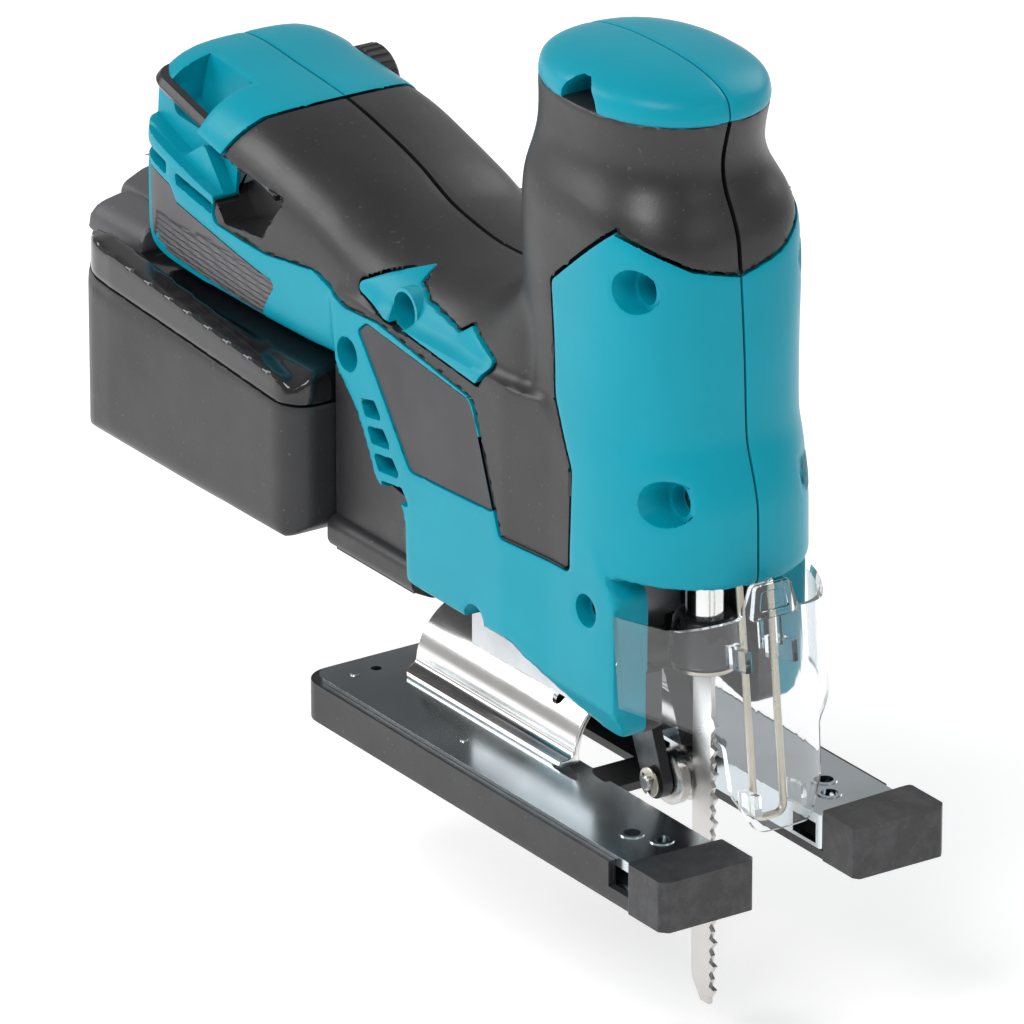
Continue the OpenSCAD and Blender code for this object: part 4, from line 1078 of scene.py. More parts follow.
class JIGSAW_OT_controls(bpy.types.Operator):
    """Builds the slide switch, the speed dial and the orbit lever on the left"""

    bl_idname = "jigsaw.controls"
    bl_label = "Controls"

    def execute(self, context):
        low, high = node_box("slide_switch")
        x, z = (low.x + high.x) / 2, (low.z + high.z) / 2
        top = [(low.x, low.z, 3), (high.x, low.z, 3), (high.x, high.z, 3), (low.x, high.z, 3)]
        thumb = round_edges(prism("slide_thumb", rounded(top, 3), "y", high.y - 3, high.y - 0.4), 0.8, 3)
        for k in range(-3, 4):
            rib = block("rib", (x + 2.3 * k - 0.55, high.y - 1.2, low.z + 2), (x + 2.3 * k + 0.55, high.y, high.z - 2))
            add(thumb, round_edges(rib, 0.35, 2))
        add(thumb, block("stem", (x - 3, low.y, z - 3), (x + 3, high.y - 2.9, z + 3)))
        fit(thumb, "switch_body", "black_plastic", "slide_switch")
        low, high = node_box("speed_dial")
        x, z, r = (low.x + high.x) / 2, (low.z + high.z) / 2, (high.z - low.z) / 2
        profile = [(0, low.y), (r - 0.5, low.y), (r, low.y + 0.5), (r, high.y - 0.7), (r - 0.7, high.y), (0, high.y)]
        dial = along_y(lathe("dial_wheel", profile), x, 0, z)
        for px, pz in circle(r, 24) + [x, z]:
            cut(dial, rod("flute", (px, low.y - 1, pz), (px, high.y + 1, pz), 0.55, n=16))
        mark = block("mark", (-0.5, high.y - 0.5, r * 0.35), (0.5, high.y + 1, r * 0.8))
        cut(dial, place(mark, Matrix.Translation((x, 0, z))))
        fit(dial, "dial_body", "black_plastic", "speed_dial")
        low, high = node_box("orbit_lever")
        x, z, r = (low.x + high.x) / 2, low.z + 8, 8
        profile = [(0, low.y), (r, low.y), (r, high.y - 1.8), (r - 1, high.y - 1), (0, high.y - 0.8)]
        disc = along_y(lathe("orbit_handle", profile), x, 0, z)
        grip = [(x - 3, z - 5, 2), (x + 3, z - 5, 2), (x + 2.4, high.z, 2), (x - 2.4, high.z, 2)]
        add(disc, round_edges(prism("grip", rounded(grip, 2), "y", low.y + 0.1, high.y), 0.8, 3))
        cut(disc, rod("boss", (x, low.y - 1, z), (x, low.y + 3.2, z), 2.05))
        fit(disc, "orbit_body", "black_plastic", "orbit_lever")
        return {"FINISHED"}


# ---- Battery ----

# Top of the case, and how far below it the upper case meets the lower one at the rear and at the front
CASE_TOP, SPLIT_REAR, SPLIT_FRONT = 83, 2.2, 9.3
# Top of the release button
BUTTON_TOP = 94.5


def battery_form(shrink=0.0):
    """Whole battery case as one block with rounded corners."""
    low, high = node_box("battery_case_lower")
    z0, z1 = low.z + shrink, CASE_TOP - shrink
    x0, x1, half = low.x + shrink, high.x - shrink, high.y - shrink
    obj = prism("battery", battery_plan(x0, x1, half), "z", z0, z1)
    section = [(half, z0 + 3, 4), (half - 2.5, z0, 2), (-half + 2.5, z0, 2), (-half, z0 + 3, 4), (-half, z1 - 7, 5),
               (-half + 7, z1 - 1.5, 4), (-half + 14, z1, 4), (half - 14, z1, 4), (half - 7, z1 - 1.5, 4),
               (half, z1 - 7, 5)]  # fmt: skip
    keep_inside(obj, prism("section", rounded(section, 3, 8), "x", x0 - 2, x1 + 2))
    side = [(x0, z1, 5), (x0, z0 + 12, 5), (x0 + 24, z0 - 1 + shrink, 14), (x0 + 60, z0, 8), (x1 - 4, z0 + 1.4, 4),
            (x1, z0 + 4.5, 3), (x1, z1, 5)]  # fmt: skip
    return keep_inside(obj, prism("side", rounded(side, 4, 8), "y", -60, 60))


def battery_plan(low, high, half):
    """Right half of the case's plan, with its long slanting rear corner."""
    plan = [(low, 0, 0), (low + 0.3, half - 24, 9), (low + 8, half - 13, 12), (low + 24, half - 0.6, 12),
            (low + 34, half, 5), (high, half, 8), (high, 0, 0)]  # fmt: skip
    return mirrored(rounded(plan, 4, 10))


def shoulder(low, high, side):
    """Raised rim along the top of the case that hugs the barrel and falls towards the front."""
    side_view = [(low.x + 8, 76), (low.x + 10, 86.5, 6), (low.x + 26, 88.4, 8), (high.x - 6, 79.8, 5),
                 (high.x - 1.5, 77, 3), (high.x - 1.5, 74)]  # fmt: skip
    rim = prism("shoulder", rounded(side_view, 3, 8), "y", *span(side, 29.9, high.y - 0.5))
    rim = round_edges(rim, 2.2, 4, 60)
    return keep_inside(rim, prism("plan", battery_plan(low.x + 0.5, high.x, high.y - 0.5), "z", 0, 130))


def above_split(gap):
    """Everything above the slanted line between the two cases, raised by a gap."""
    low, high = node_box("battery_case_lower")
    rear, front, top = CASE_TOP - SPLIT_REAR + gap, CASE_TOP - SPLIT_FRONT + gap, CASE_TOP + 60
    return prism("above", [(low.x - 2, rear), (high.x + 2, front), (high.x + 2, top), (low.x - 2, top)], "y", -60, 60)


class JIGSAW_OT_battery(bpy.types.Operator):
    """Builds the battery's upper and lower case, its release button and its charge button"""

    bl_idname = "jigsaw.battery"
    bl_label = "Battery"

    def execute(self, context):
        s = sizes()
        low, high = node_box("battery_case_lower")
        cell = 0.9
        form = add(battery_form(), shoulder(low, high, -1), shoulder(low, high, 1))
        form = relax(remesh(form, cell), 5)
        inside = battery_form(2.4)
        lower, upper = copy_of(form, "pack_lower"), form
        upper.name = "pack_upper"
        cut(lower, above_split(-s.seam), copy_of(inside, "inside"))
        keep_inside(upper, above_split(0.0))
        cut(upper, inside)
        # raised tail with the release button
        x0 = low.x + 2.6
        hump = [(x0 + 1, 81), (x0 + 3, 88, 6), (x0 + 9, 92.6, 5), (x0 + 25, 91, 3), (x0 + 27, 81)]
        tail = prism("tail", rounded(hump, 3, 6), "y", -27, 27)
        crown = [(-25, 79), (-24, 87, 8), (-15, 93.5, 10), (15, 93.5, 10), (24, 87, 8), (25, 79)]
        keep_inside(tail, prism("crown", rounded(crown, 6, 8), "x", x0 - 5, x0 + 40))
        b_low, b_high = node_box("release_button")
        gap = 0.35
        well = ((b_low.x - gap, b_low.y - gap, b_low.z - 3.4), (b_high.x + gap, b_high.y + gap, 120))
        cut(tail, block("well", *well))
        cut(upper, block("well", *well))
        relax(remesh(tail, 0.7), 2)
        cut(tail, block("well", *well))
        # slots for the contacts
        _, contact_high = node_box("battery_contacts")
        z = contact_high.z
        for y in (-11.5, 11.5):
            cut(upper, block("slot", (high.x - 30, y - 1.5, z - 4), (high.x + 5, y + 1.5, z + 8)))
        for side in (-1, 1):
            foot = [(low.x + 24, 47), (low.x + 30, 39.6, 3), (low.x + 44, 39.6, 3), (low.x + 50, 47)]
            bump = prism("foot", rounded(foot, 3), "y", *span(side, 20, high.y - 4))
            add(lower, round_edges(bump, 0.8, 3))
        charge = node_middle("charge_button")
        cut(lower, rod("charge bore", (low.x - 2, 0, charge.z), (low.x + 5, 0, charge.z), 3.3))
        ease_edges(lower, 1.0, 0.3)
        ease_edges(upper, 1.0, 0.3)
        fit(lower, "battery_body", "black_plastic", "battery_case_lower")
        fit(upper, "battery_body", "gloss_black", "battery_case_upper")
        fit(tail, "battery_body", "grey_plastic")
        z0, z1 = b_low.z, BUTTON_TOP
        button = block("latch_button", tuple(b_low), (b_high.x, b_high.y, z1))
        crest = [(-16, z0), (-15.6, z1 - 3, 4), (-9, z1, 8), (9, z1, 8), (15.6, z1 - 3, 4), (16, z0)]
        keep_inside(button, prism("crest", rounded(crest, 4, 6), "x", b_low.x - 1, b_high.x + 1))
        for k in range(4):
            x = b_low.x + 3.5 + 3 * k
            add(button, rod("ridge", (x, -9, z1 - 0.35), (x, 9, z1 - 0.35), 0.45, n=12))
        fit(round_edges(button, 0.5, 3, 40), "release_body", "grey_plastic", "release_button")
        c_low, c_high = node_box("charge_button")
        r, length = (c_high.z - c_low.z) / 2, c_high.x - c_low.x
        knob = lathe("charge_knob", [(0, 0), (r - 0.6, 0), (r, 0.6), (r, length), (0, length)])
        fit(place(knob, spot(c_low.x, 0, charge.z, 90)), "charge_body", "grey_plastic", "charge_button")
        return {"FINISHED"}


class JIGSAW_OT_lower_cover(bpy.types.Operator):
    """Builds the black cover under the rear of the body"""

    bl_idname = "jigsaw.lower_cover"
    bl_label = "Lower cover"

    def execute(self, context):
        low, high = node_box("lower_cover")
        right = [(-high.y, high.z), (-high.y, low.z + 3, 3), (-high.y + 6, low.z, 5)]
        section = right + [(-y, *rest) for y, *rest in reversed(right)]
        tray = prism("rear_tray", rounded(section, 3, 8), "x", low.x, high.x)
        cut(tray, block("inside", (low.x - 1, -25, low.z + 3), (high.x - 4.2, 25, 60)))
        cut(tray, block("battery room", (low.x - 1, -40, 37.7), (-78.7, 40, 60)))
        ramp_side = [(low.x - 1, low.z - 1), (low.x - 1, high.z + 1), (low.x + 4, high.z + 1), (low.x + 4, low.z + 2.6),
                     (low.x + 12, low.z - 1)]  # fmt: skip
        cut(tray, prism("ramp", ramp_side, "y", -40, 40))
        wall = [(-78.6, low.z + 1), (-46, low.z + 1), (-46, 59.5), (-57.6, 61.5), (-67.5, 78.5), (-72, 83),
                (-78.6, 83.4)]  # fmt: skip
        add(tray, prism("recessed wall", wall, "y", -25.5, 25.5))
        fit(round_edges(tray, 0.7, 3), "body", "black_plastic", "lower_cover")
        return {"FINISHED"}


# ---- Base ----

# Front of the prongs, rear of their caps, and the gap between them: its end and half its width
FRONT_X, CAP_X, GAP_X, GAP_HALF = 75, 61, 6, 14.25
# Half widths of the plate and of the sole cover, and the plate's top
PLATE_HALF, SHOE_HALF, PLATE_TOP = 36.5, 38.5, 10.5
# Axis height and radius of the bevel hump
HUMP_Z, HUMP_R = 12, 16


def base_outline(rear, front, half, corner, inner_corner, gap=GAP_HALF, gap_x=GAP_X):
    """Plan of the two-pronged base, with its own corner radii."""
    side = [(rear, half, corner), (front, half, 1), (front, gap, 1), (gap_x, gap, inner_corner)]
    return rounded(side + [(x, -y, r) for x, y, r in reversed(side)], 1, 8)


def hump_arc(radius, start):
    """Arc over the top of the hump, from that many degrees above the level to as many on its other side."""
    turns = [math.radians(t) for t in np.linspace(start, 180 - start, 48)]
    return [(radius * math.cos(t), HUMP_Z + radius * math.sin(t)) for t in turns]


def hump_hole(name, x, turn, start, end, radius):
    """Rod through the hump at that place, leaning that many degrees to the left, between two radii."""
    lean = Vector((0, math.sin(math.radians(turn)), math.cos(math.radians(turn))))
    axis = Vector((x, 0, HUMP_Z))
    return rod(name, axis + lean * start, axis + lean * end, radius)


class JIGSAW_OT_base(bpy.types.Operator):
    """Builds the pressed plate, the bevel hump and the plastic sole cover"""

    bl_idname = "jigsaw.base"
    bl_label = "Base"

    def execute(self, context):
        low, high = node_box("base_plate")
        outer = base_outline(low.x, CAP_X, PLATE_HALF, 5, 7)
        plate = round_edges(prism("pressed_plate", outer, "z", low.z, PLATE_TOP), 2.2, 5, 60)
        inner = base_outline(low.x + 2, CAP_X - 2, PLATE_HALF - 2, 4, 5, GAP_HALF + 2, GAP_X - 2)
        cut(plate, prism("inner", inner, "z", low.z - 1, PLATE_TOP - 2))
        well = [(1, -21, 5), (18, -21, 6), (18, 21, 6), (1, 21, 5)]
        dish = prism("well", rounded(well, 5, 8), "z", PLATE_TOP - 1.1, PLATE_TOP + 5)
        cut(plate, round_edges(dish, 0.9, 3, 60))
        cut(plate, block("under hump", (-57, -12, -1), (9, 12, 30)))
        for side in (-1, 1):
            for x, y in ((45, 26.7), (51.7, 23.2)):
                add(plate, rod("collar", (x, side * y, PLATE_TOP - 3), (x, side * y, PLATE_TOP + 0.25), 2.9))
                cut(plate, rod("tap", (x, side * y, -1), (x, side * y, 20), 2))
            a, b = span(side, 16.5, 35.4)
            add(plate, block("core", (CAP_X - 1, a, low.z + 1), (71, b, low.z + 6)))
            a, b = span(side, 10, 50)
            cut(plate, block("guide rule", (50, a, 3), (59, b, 8)))
        cut(plate, rod("rear hole", (-66, -22.9, -1), (-66, -22.9, 20), 1.3))
        for x, y in product((-66, -20), (-29, 29)):
            add(plate, rod("rivet", (x, y, PLATE_TOP - 1), (x, y, PLATE_TOP + 0.3), 1.3, 1.0))
        fit(plate, "base_body", "plated_steel", "base_plate")

        h_low, h_high = node_box("bevel_hump")
        foot = -math.degrees(math.asin(1.5 / HUMP_R))
        flange = [(20, PLATE_TOP), (20, PLATE_TOP + 1.5), (17.6, PLATE_TOP + 1.5), (16.4, PLATE_TOP + 2.2)]
        section = flange + hump_arc(HUMP_R, 5) + [(-y, z) for y, z in reversed(flange)]
        section += list(reversed(hump_arc(HUMP_R - 1.5, foot)))
        hump = round_edges(prism("hump_shell", section, "x", h_low.x, h_high.x), 0.45, 3, 50)
        slot_x = node_middle("clamp_bolt").x
        wedge = [(0, HUMP_Z), (-15, HUMP_Z + 26), (15, HUMP_Z + 26)]
        slot = prism("slot", wedge, "x", slot_x - 3.6, slot_x + 3.6)
        cut(hump, slot)
        for turn in (-30, 30):
            cut(hump, hump_hole("slot end", slot_x, turn, 2, 20, 3.6))
        cut(hump, hump_hole("flank hole", -6, -49, 3, 20, 2.1))
        for side in (-1, 1):
            corner = [(h_low.x - 1, side * 17), (h_low.x - 1, side * 22), (h_low.x + 5, side * 22)]
            cut(hump, prism("corner", corner, "z", 8, 20))
        fit(hump, "base_body", "bright_steel", "bevel_hump")

        s_low, s_high = node_box("sole_cover")
        floor = base_outline(s_low.x, FRONT_X - 2, SHOE_HALF, 7, 5)
        shoe = round_edges(prism("sole_shoe", floor, "z", 0, 2), 0.8, 3, 60)
        outer, hollow = (
            rounded([(rear, -half, corner), (front, -half, 0), (front, half, 0), (rear, half, corner)], 1, 8)
            for rear, front, half, corner in ((s_low.x, 52.8, SHOE_HALF, 7), (s_low.x + 1.9, 60, PLATE_HALF + 0.1, 5.2))
        )
        wall = round_edges(prism("wall", outer, "z", 0.6, 9.5), 0.6, 2, 60)
        cut(wall, prism("hollow", hollow, "z", -5, 30))
        add(shoe, wall)
        for side in (-1, 1):
            inner, outer = GAP_HALF - 0.4, SHOE_HALF + 0.7
            tip = FRONT_X + 0.4
            plan = [(CAP_X + 1, inner, 0.5), (CAP_X, 36, 1), (CAP_X, outer, 1), (FRONT_X - 1.5, outer, 1),
                    (tip, outer - 1.7, 1), (tip, inner + 1, 1), (FRONT_X - 1, inner, 1)]  # fmt: skip
            cap = prism("cap", rounded([(x, side * y, r) for x, y, r in plan], 1, 6), "z", 0, PLATE_TOP + 1.8)
            add(shoe, round_edges(cap, 1.0, 2, 60))
            a, b = span(side, SHOE_HALF - 1.9, SHOE_HALF)
            add(shoe, block("sill", (52, a, 0.6), (62, b, 3.4)))
            a, b = span(side, GAP_HALF + 2, SHOE_HALF - 2.8)
            cut(shoe, block("cap room", (CAP_X - 5, a, 2), (CAP_X + 10.2, b, 8.3)))
        cut(shoe, block("slot", (slot_x - 16, -9, -1), (slot_x + 16, 9, 8)))
        fit(shoe, "base_body", "black_plastic", "sole_cover")
        return {"FINISHED"}


# ---- Cutting end ----


def toothed_blade(name, low, high, width, half_t, set_out, pitch=3.0, teeth_top=32.0):
    """Blade with teeth along its front, their tips set left and right in turn."""
    x0, x1 = -width / 2, width / 2 + 0.9
    gullet = x1 - 1.4
    count = int((teeth_top - low) / pitch) - 1
    front, back, lean = [(gullet, low)], [], [0]
    for i in range(count):
        z = low + 1.5 + pitch * i
        front += [(gullet, z), (x1, z + pitch * 0.75)]
        lean += [0, set_out * (-1) ** i]
    front += [(x1 - 1.2, low + 1.5 + pitch * count + 1.5), (x1 - 1.2, high - 1), (x1 - 2, high)]
    lean += [0, 0, 0]
    tip_rise = 5.0
    for x, z in front:
        back.append((x0 if z > low + tip_rise else x0 + (low + tip_rise - z) * (width / 2) / tip_rise, z))
    back[-1] = (x0 + 1, high)
    n = len(front)
    verts = []
    for side in (-1, 1):
        verts += [(x, side * half_t + shift, z) for (x, z), shift in zip(front, lean)]
        verts += [(x, side * half_t, z) for x, z in back]
    faces = []
    for side, o in ((0, 0), (1, 2 * n)):
        for i in range(n - 1):
            if lean[i]:
                continue
            j = i + 2 if i + 1 < n and lean[i + 1] else i + 1
            if j == i + 2:
                faces.append((o + i, o + i + 1, o + j))
                faces.append((o + i, o + j, o + n + j, o + n + i + 1, o + n + i))
            else:
                faces.append((o + i, o + j, o + n + j, o + n + i))
    for i in range(n - 1):
        faces += [(e, e + 1, 2 * n + e + 1, 2 * n + e) for e in (i, n + i)]
    faces += [(0, n, 3 * n, 2 * n), (n - 1, 2 * n - 1, 4 * n - 1, 3 * n - 1)]
    return solid(name, verts, faces)


class JIGSAW_OT_cutting(bpy.types.Operator):
    """Builds the blade, its clamp, the roller in its fork and the pins"""

    bl_idname = "jigsaw.cutting"
    bl_label = "Cutting end"

    def execute(self, context):
        b_low, b_high = node_box("blade")
        x = (b_low.x + b_high.x) / 2
        blade = toothed_blade("saw_blade", b_low.z, b_high.z, b_high.x - b_low.x, 0.6, sizes().tooth_set)
        fit(place(blade, Matrix.Translation((x, 0, 0))), "plunger_body", "blade_steel", "blade", angle=20)

        c_low, c_high = node_box("clamp_collar")
        r, bore = c_high.y, 4.55
        z0, z1 = c_low.z, c_high.z
        profile = [(bore, z0 + 0.2), (r - 1.4, z0), (r - 0.5, z0 + 0.4), (r, z0 + 1.5), (r - 0.3, z0 + 4),
                   (r - 1.1, z1 - 1.4), (r - 1.8, z1 - 0.3), (r - 2.4, z1), (bore, z1)]  # fmt: skip
        collar = place(lathe("clamp_cup", profile, 96), Matrix.Translation((x, 0, 0)))
        flutes = circle(r + 0.35, 18)
        for px, py in np.delete(flutes, (8, 9, 10), 0) + [x, 0]:  # none where the lug is
            cut(collar, rod("flute", (px, py, z0 + 4.5), (px, py, z1 - 0.9), 0.8, n=16))
        lever = [(c_low.x, z0 + 4, 1.5), (c_low.x + 7, z0 + 3.2), (c_low.x + 7, z0 + 8.6), (c_low.x, z0 + 8, 1.5)]
        lug = round_edges(prism("lug", rounded(lever, 1.2, 5), "y", -2.9, 2.9), 0.6, 3)
        cut(lug, rod("bore", (x, 0, z0 - 2), (x, 0, z1 + 2), bore + 1))
        add(collar, lug)
        fit(collar, "clamp_body", "black_steel", "clamp_collar")
        s_low, s_high = node_box("clamp_spring")
        r, z0, z1 = s_high.y, s_low.z, s_high.z
        ring = lathe("clamp_ring", [(bore, z0), (r - 0.5, z0), (r, z0 + 0.4), (r, z1), (bore, z1)], 96)
        fit(place(ring, Matrix.Translation((x, 0, 0))), "plunger_body", "spring_steel", "clamp_spring")

        pivot, axle = node_middle("bracket_pin"), node_middle("guide_roller")
        lean = math.atan2(axle.z - pivot.z, axle.x - pivot.x)
        arm = []
        for end, radius, start in ((pivot, 5, lean + math.pi / 2), (axle, 4.2, lean - math.pi / 2)):
            turns = np.linspace(start, start + math.pi, 16)
            arm += [(end.x + radius * math.cos(t), end.z + radius * math.sin(t)) for t in turns]
        fork = round_edges(prism("roller_fork", arm, "y", -7.5, -4.8), 0.6, 3)
        other = round_edges(prism("arm", arm, "y", 4.8, 7.5), 0.6, 3)
        add(fork, rod("hub", (pivot.x, -5, pivot.z), (pivot.x, 5, pivot.z), 4.6), other)
        for end, radius in ((pivot, 2.55), (axle, 1.77)):
            cut(fork, rod("bore", (end.x, -12, end.z), (end.x, 12, end.z), radius))
        fit(fork, "bracket_body", "black_steel", "roller_bracket")
        r = node_box("guide_roller")[1].x - axle.x
        half = 4.5
        profile = [(1.8, -half + 0.4), (2.2, -half), (r - 1.6, -half), (r - 0.5, -half + 0.3), (r, -half + 0.9),
                   (r, -1.4), (r - 0.3, -1.15), (r - 1, -1.0)]  # fmt: skip
        profile += [(radius, -y) for radius, y in reversed(profile)]
        roller = along_y(lathe("grooved_roller", profile, 96), axle.x, 0, axle.z)
        fit(roller, "roller_body", "machined_steel", "guide_roller")
        p = 1.75
        profile = [(0, -10), (p - 0.4, -10), (p, -9.6), (p, -8.95), (p - 0.4, -8.95), (p - 0.4, -8.2), (p, -8.2),
                   (p, 7.6), (p + 1, 7.6), (p + 1, 8.3), (p + 0.6, 8.6), (0, 8.6)]  # fmt: skip
        fit(along_y(lathe("roller_axle", profile), axle.x, 0, axle.z), "bracket_body", "machined_steel", "roller_pin")
        profile = [(p - 0.36, -8.9), (p + 1.6, -8.9), (p + 1.8, -8.75), (p + 1.8, -8.45), (p + 1.6, -8.3),
                   (p - 0.36, -8.3)]  # fmt: skip
        clip = along_y(lathe("e_clip", profile), axle.x, 0, axle.z)
        cut(clip, block("mouth", (axle.x - 1.2, -11, axle.z - 8), (axle.x + 1.2, -6, axle.z)))
        for turn in (35, 145):
            t = math.radians(turn)
            px, pz = axle.x + 2.4 * math.cos(t), axle.z + 2.4 * math.sin(t)
            cut(clip, rod("eye", (px, -11, pz), (px, -6, pz), 0.4, n=16))
        fit(clip, "bracket_body", "spring_steel", "retaining_clip")
        pin = lathe("pivot_pin", [(0, -12), (2, -12), (2.5, -11.5), (2.5, 11.5), (2, 12), (0, 12)])
        fit(along_y(pin, pivot.x, 0, pivot.z), "body", "machined_steel", "bracket_pin")
        return {"FINISHED"}


# ---- Guard wire and clear cover ----

# Guard wire: its middle at (x, z), its lean in degrees, its length below that, half its width and its radius
WIRE_TOP, WIRE_TILT, WIRE_L, WIRE_Y, WIRE_R = (54.5, 64), 7, 51, 4, 0.9
# Clear cover, from the wire: the middle of its curve, the gap to its inner face, and half its width
COVER_CENTRE, COVER_GAP, COVER_HALF = -36, 5.6, 28.2
# Right half of its outline from the front, as (y, height up the wire, corner radius)
COVER_FRONT = [(-4.8, 6.6, 1.5), (-8, -1.0, 2), (-20, -3.0, 5), (-31, 0.6, 2), (-31, -20.5, 5), (-24, -24, 4),
               (-13, -29.5, 3), (-12.2, -42, 8), (-7.2, -51.4, 3)]  # fmt: skip


class JIGSAW_OT_guard(bpy.types.Operator):
    """Builds the guard wire and the clear chip cover that slides on it"""

    bl_idname = "jigsaw.guard"
    bl_label = "Wire and clear cover"

    def execute(self, context):
        wire = spot(WIRE_TOP[0], 0, WIRE_TOP[1], -WIRE_TILT)
        bend, foot = 2.4, -WIRE_L + WIRE_R
        path = [(0, -WIRE_Y, 12.8), (0, -WIRE_Y, foot + bend + 1)]
        for side, start in ((-1, math.pi), (1, 1.5 * math.pi)):
            for k in range(9):
                t = start + math.pi / 2 * k / 8
                path.append((0, side * (WIRE_Y - bend) + bend * math.cos(t), foot + bend + bend * math.sin(t)))
        path += [(0, WIRE_Y, foot + bend + 1), (0, WIRE_Y, 12.8)]
        hoop = fit(place(tube("guard_hoop", path, WIRE_R), wire), "body", "spring_steel", "guard_wire")

        wall = sizes().cover_wall
        inner_l = COVER_GAP - COVER_CENTRE
        ring = lambda grow_by: oval(inner_l + grow_by, COVER_HALF + grow_by, 2.25, 160) + [COVER_CENTRE, 0]
        cover = prism("clear_cover", ring(wall), "z", -60, 20)
        cut(cover, prism("inside", ring(0), "z", -61, 21))
        front = COVER_FRONT + [(-y, z, r) for y, z, r in reversed(COVER_FRONT)]
        keep_inside(cover, prism("front", rounded(front, 2, 6), "x", -17, 12))
        # hooks and claws round the wire, and two ribs: (x0, x1, inner y, outer y, z0, z1)
        grips = [(-1.6, COVER_GAP + 0.5, WIRE_Y + 1.4, WIRE_Y + 3, z - 2, z + 3) for z in (-12, -46)]
        grips.append((-2.9, -1.5, WIRE_Y - 0.3, WIRE_Y + 2.9, -14, -9))
        grips.append((COVER_GAP - 1.4, COVER_GAP + 0.3, 2.0, 2.8, -9, -2))
        parts = []
        for (x0, x1, inner, outer, z0, z1), side in product(grips, (-1, 1)):
            a, b = span(side, inner, outer)
            parts.append(block("grip", (x0, a, z0), (x1, b, z1)))
        rim = [(COVER_GAP + x, y, 0.5) for x, y in ((0.6, -6.2), (2.3, -6.2), (2.3, 6.2), (0.6, 6.2))]
        tab = prism("tab", rounded(rim, 0.4, 3), "z", -1.5, 6.4)
        trapeze = [(-6.1, -1.6), (6.1, -1.6), (4.8, 6.4, 1), (-4.8, 6.4, 1)]
        keep_inside(tab, prism("trapeze", rounded(trapeze, 0.6, 4), "x", 0, 20))
        window = [(-4.0, 0.3), (4.0, 0.3), (3.2, 4.9), (-3.2, 4.9)]
        cut(tab, prism("window", rounded(window, 0.6, 4), "x", COVER_GAP + wall + 0.35, 20))
        add(cover, *parts, tab)
        round_edges(cover, 0.28, 2, 50)
        fit(place(cover, wire), "cover_body", "clear_plastic", "chip_cover", angle=40)
        return {"FINISHED"}


# ---- Inside ----

# Finish of each node that keeps its frame shape
INNER = {
    "black_plastic": ("switch_unit", "terminal_block", "fan"),
    "circuit": ("controller",),
    "machined_steel": (
        "motor_stator", "rotor", "pinion", "crank_gear", "crank_roller", "yoke", "orbit_cam", "clamp_plate",
    ),  # fmt: skip
    "bright_steel": ("rear_bearing", "front_bearing", "gear_shaft", "gear_bearing", "plunger"),
    "cast_aluminium": ("gear_housing",),
    "sintered_bronze": ("upper_bush", "lower_bush"),
    "black_steel": ("clamp_bolt",),
    "cell_wrap": ("battery_cells",),
    "contact_metal": ("battery_contacts",),
}


class JIGSAW_OT_inside(bpy.types.Operator):
    """Gives the motor, gears, plunger and cells their finishes"""

    bl_idname = "jigsaw.inside"
    bl_label = "Inside parts"

    def execute(self, context):
        for name, nodes in INNER.items():
            for node in nodes:
                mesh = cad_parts[node].data
                mesh.materials.clear()
                mesh.materials.append(FINISHES[name])
        return {"FINISHED"}


# ---- Stage ----

FLOOR_HALF, FLOOR_GLOW, SKY_GLOW = 12, 0.42, 0.42
LIGHT_AIM = Vector((-0.043, 0, 0.07))
CAMERA_TARGET = Vector((-43.26, 0, 52.5))
# Name, place, size and power of each soft light
LIGHTS = (
    ("key", (0.35, -0.85, 1.15), 0.6, 9),
    ("side", (-0.9, -0.95, 0.7), 0.7, 7),
    ("front", (1.2, 0.3, 0.8), 0.4, 1),
    ("back", (-0.3, 1.2, 0.9), 0.9, 6),
)


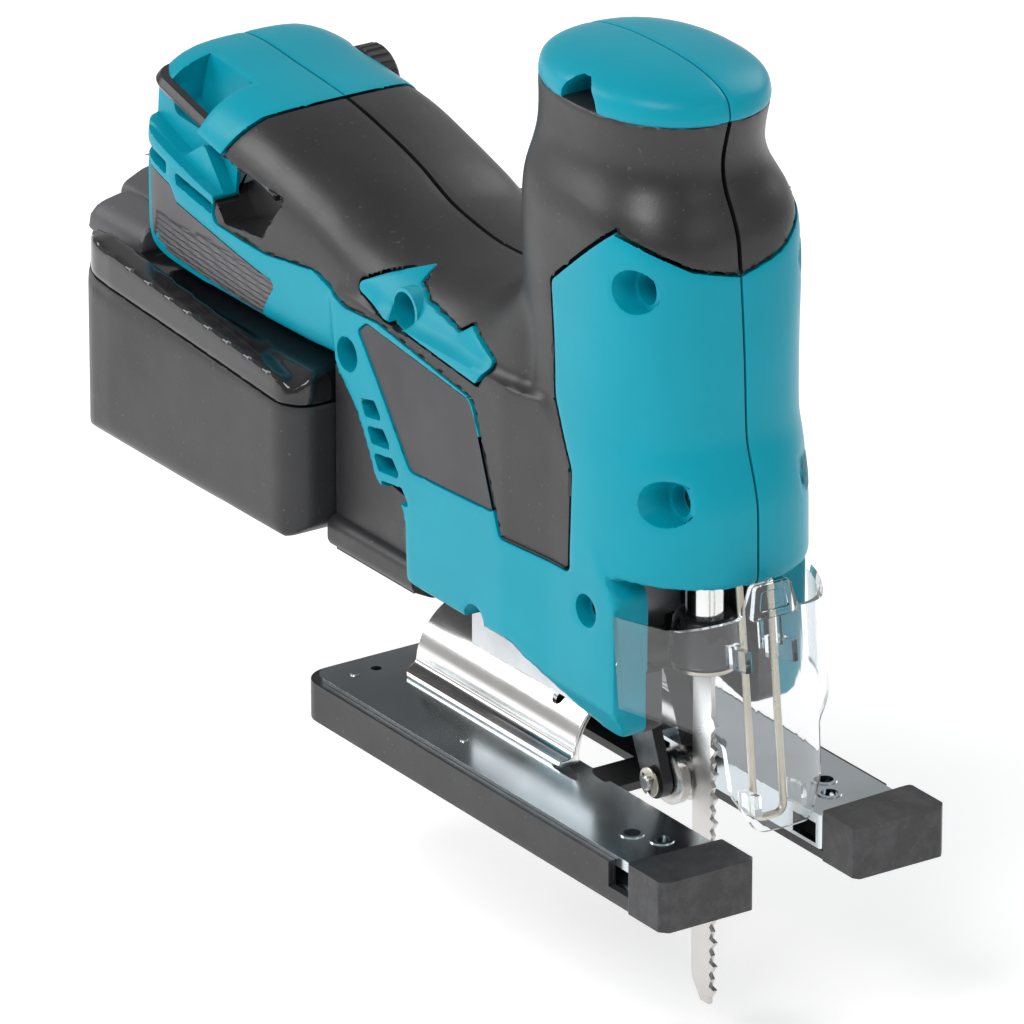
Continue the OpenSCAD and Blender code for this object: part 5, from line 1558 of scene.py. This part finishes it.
class JIGSAW_OT_stage(bpy.types.Operator):
    """Sets the floor, the soft lights and the camera"""

    bl_idname = "jigsaw.stage"
    bl_label = "Stage"

    def execute(self, context):
        s, scene = sizes(), context.scene
        low, high = CAD_BOX
        floor_z = low.z - s.floor_drop * MM
        mesh = bpy.data.meshes.new("floor")
        corners = [(FLOOR_HALF * x, FLOOR_HALF * y, floor_z) for x, y in ((-1, -1), (1, -1), (1, 1), (-1, 1))]
        mesh.from_pydata(corners, [], [(0, 1, 2, 3)])
        floor = link("floor", mesh)
        pale, white = (*colours().floor, 1), (1, 1, 1, 1)
        look = new_material("floor", Base_Color=pale, Roughness=0.9, Emission_Color=white, Emission_Strength=FLOOR_GLOW)
        floor.data.materials.append(look[0])
        world = bpy.data.worlds.new("Studio")
        world.use_nodes = True
        sky = world.node_tree.nodes["Background"].inputs
        sky["Color"].default_value, sky["Strength"].default_value = white, SKY_GLOW
        scene.world = world
        for name, where, width, power in LIGHTS:
            lamp = bpy.data.lights.new(name, "AREA")
            lamp.size, lamp.energy = width, power
            obj = bpy.data.objects.new(name, lamp)
            scene.collection.objects.link(obj)
            obj.location = where
            obj.rotation_mode = "QUATERNION"
            obj.rotation_quaternion = (LIGHT_AIM - Vector(where)).to_track_quat("-Z", "Y")
        lens = bpy.data.cameras.new("camera")
        lens.lens, lens.sensor_width, lens.clip_end = s.lens, 36, 100
        camera = bpy.data.objects.new("camera", lens)
        scene.collection.objects.link(camera)
        a, e = s.azimuth, s.elevation
        back = Vector((math.sin(a) * math.cos(e), -math.cos(a) * math.cos(e), math.sin(e)))
        camera.location = (CAMERA_TARGET + back * s.camera_distance) * MM
        camera.rotation_mode = "QUATERNION"
        camera.rotation_quaternion = (-back).to_track_quat("-Z", "Y")
        scene.camera = camera
        scene.view_settings.view_transform = "Standard"
        return {"FINISHED"}


class JIGSAW_PT_panel(bpy.types.Panel):
    """Lists the settings and the steps that build the jigsaw"""

    bl_label = "Jigsaw"
    bl_idname = "JIGSAW_PT_panel"
    bl_space_type = "VIEW_3D"
    bl_region_type = "UI"
    bl_category = "Jigsaw"

    def draw(self, context):
        layout = self.layout
        for group in (context.scene.jigsaw_colours, context.scene.jigsaw_sizes):
            column = layout.column()
            for key in group.bl_rna.properties.keys():
                if key not in ("rna_type", "name"):
                    column.prop(group, key)
        for operator in OPERATORS:
            layout.operator(operator.bl_idname)


OPERATORS = (
    JIGSAW_OT_shell,
    JIGSAW_OT_hardware,
    JIGSAW_OT_controls,
    JIGSAW_OT_battery,
    JIGSAW_OT_lower_cover,
    JIGSAW_OT_base,
    JIGSAW_OT_cutting,
    JIGSAW_OT_guard,
    JIGSAW_OT_inside,
    JIGSAW_OT_stage,
)
CLASSES = (JigsawColours, JigsawSizes, *OPERATORS, JIGSAW_PT_panel)


def register():
    for cls in CLASSES:
        bpy.utils.register_class(cls)
    bpy.types.Scene.jigsaw_colours = PointerProperty(type=JigsawColours)
    bpy.types.Scene.jigsaw_sizes = PointerProperty(type=JigsawSizes)


def unregister():
    del bpy.types.Scene.jigsaw_sizes
    del bpy.types.Scene.jigsaw_colours
    for cls in reversed(CLASSES):
        bpy.utils.unregister_class(cls)


def main():
    register()
    make_finishes()
    for operator in OPERATORS:
        package, name = operator.bl_idname.split(".")
        getattr(getattr(bpy.ops, package), name)()


if __name__ == "__main__":
    main()
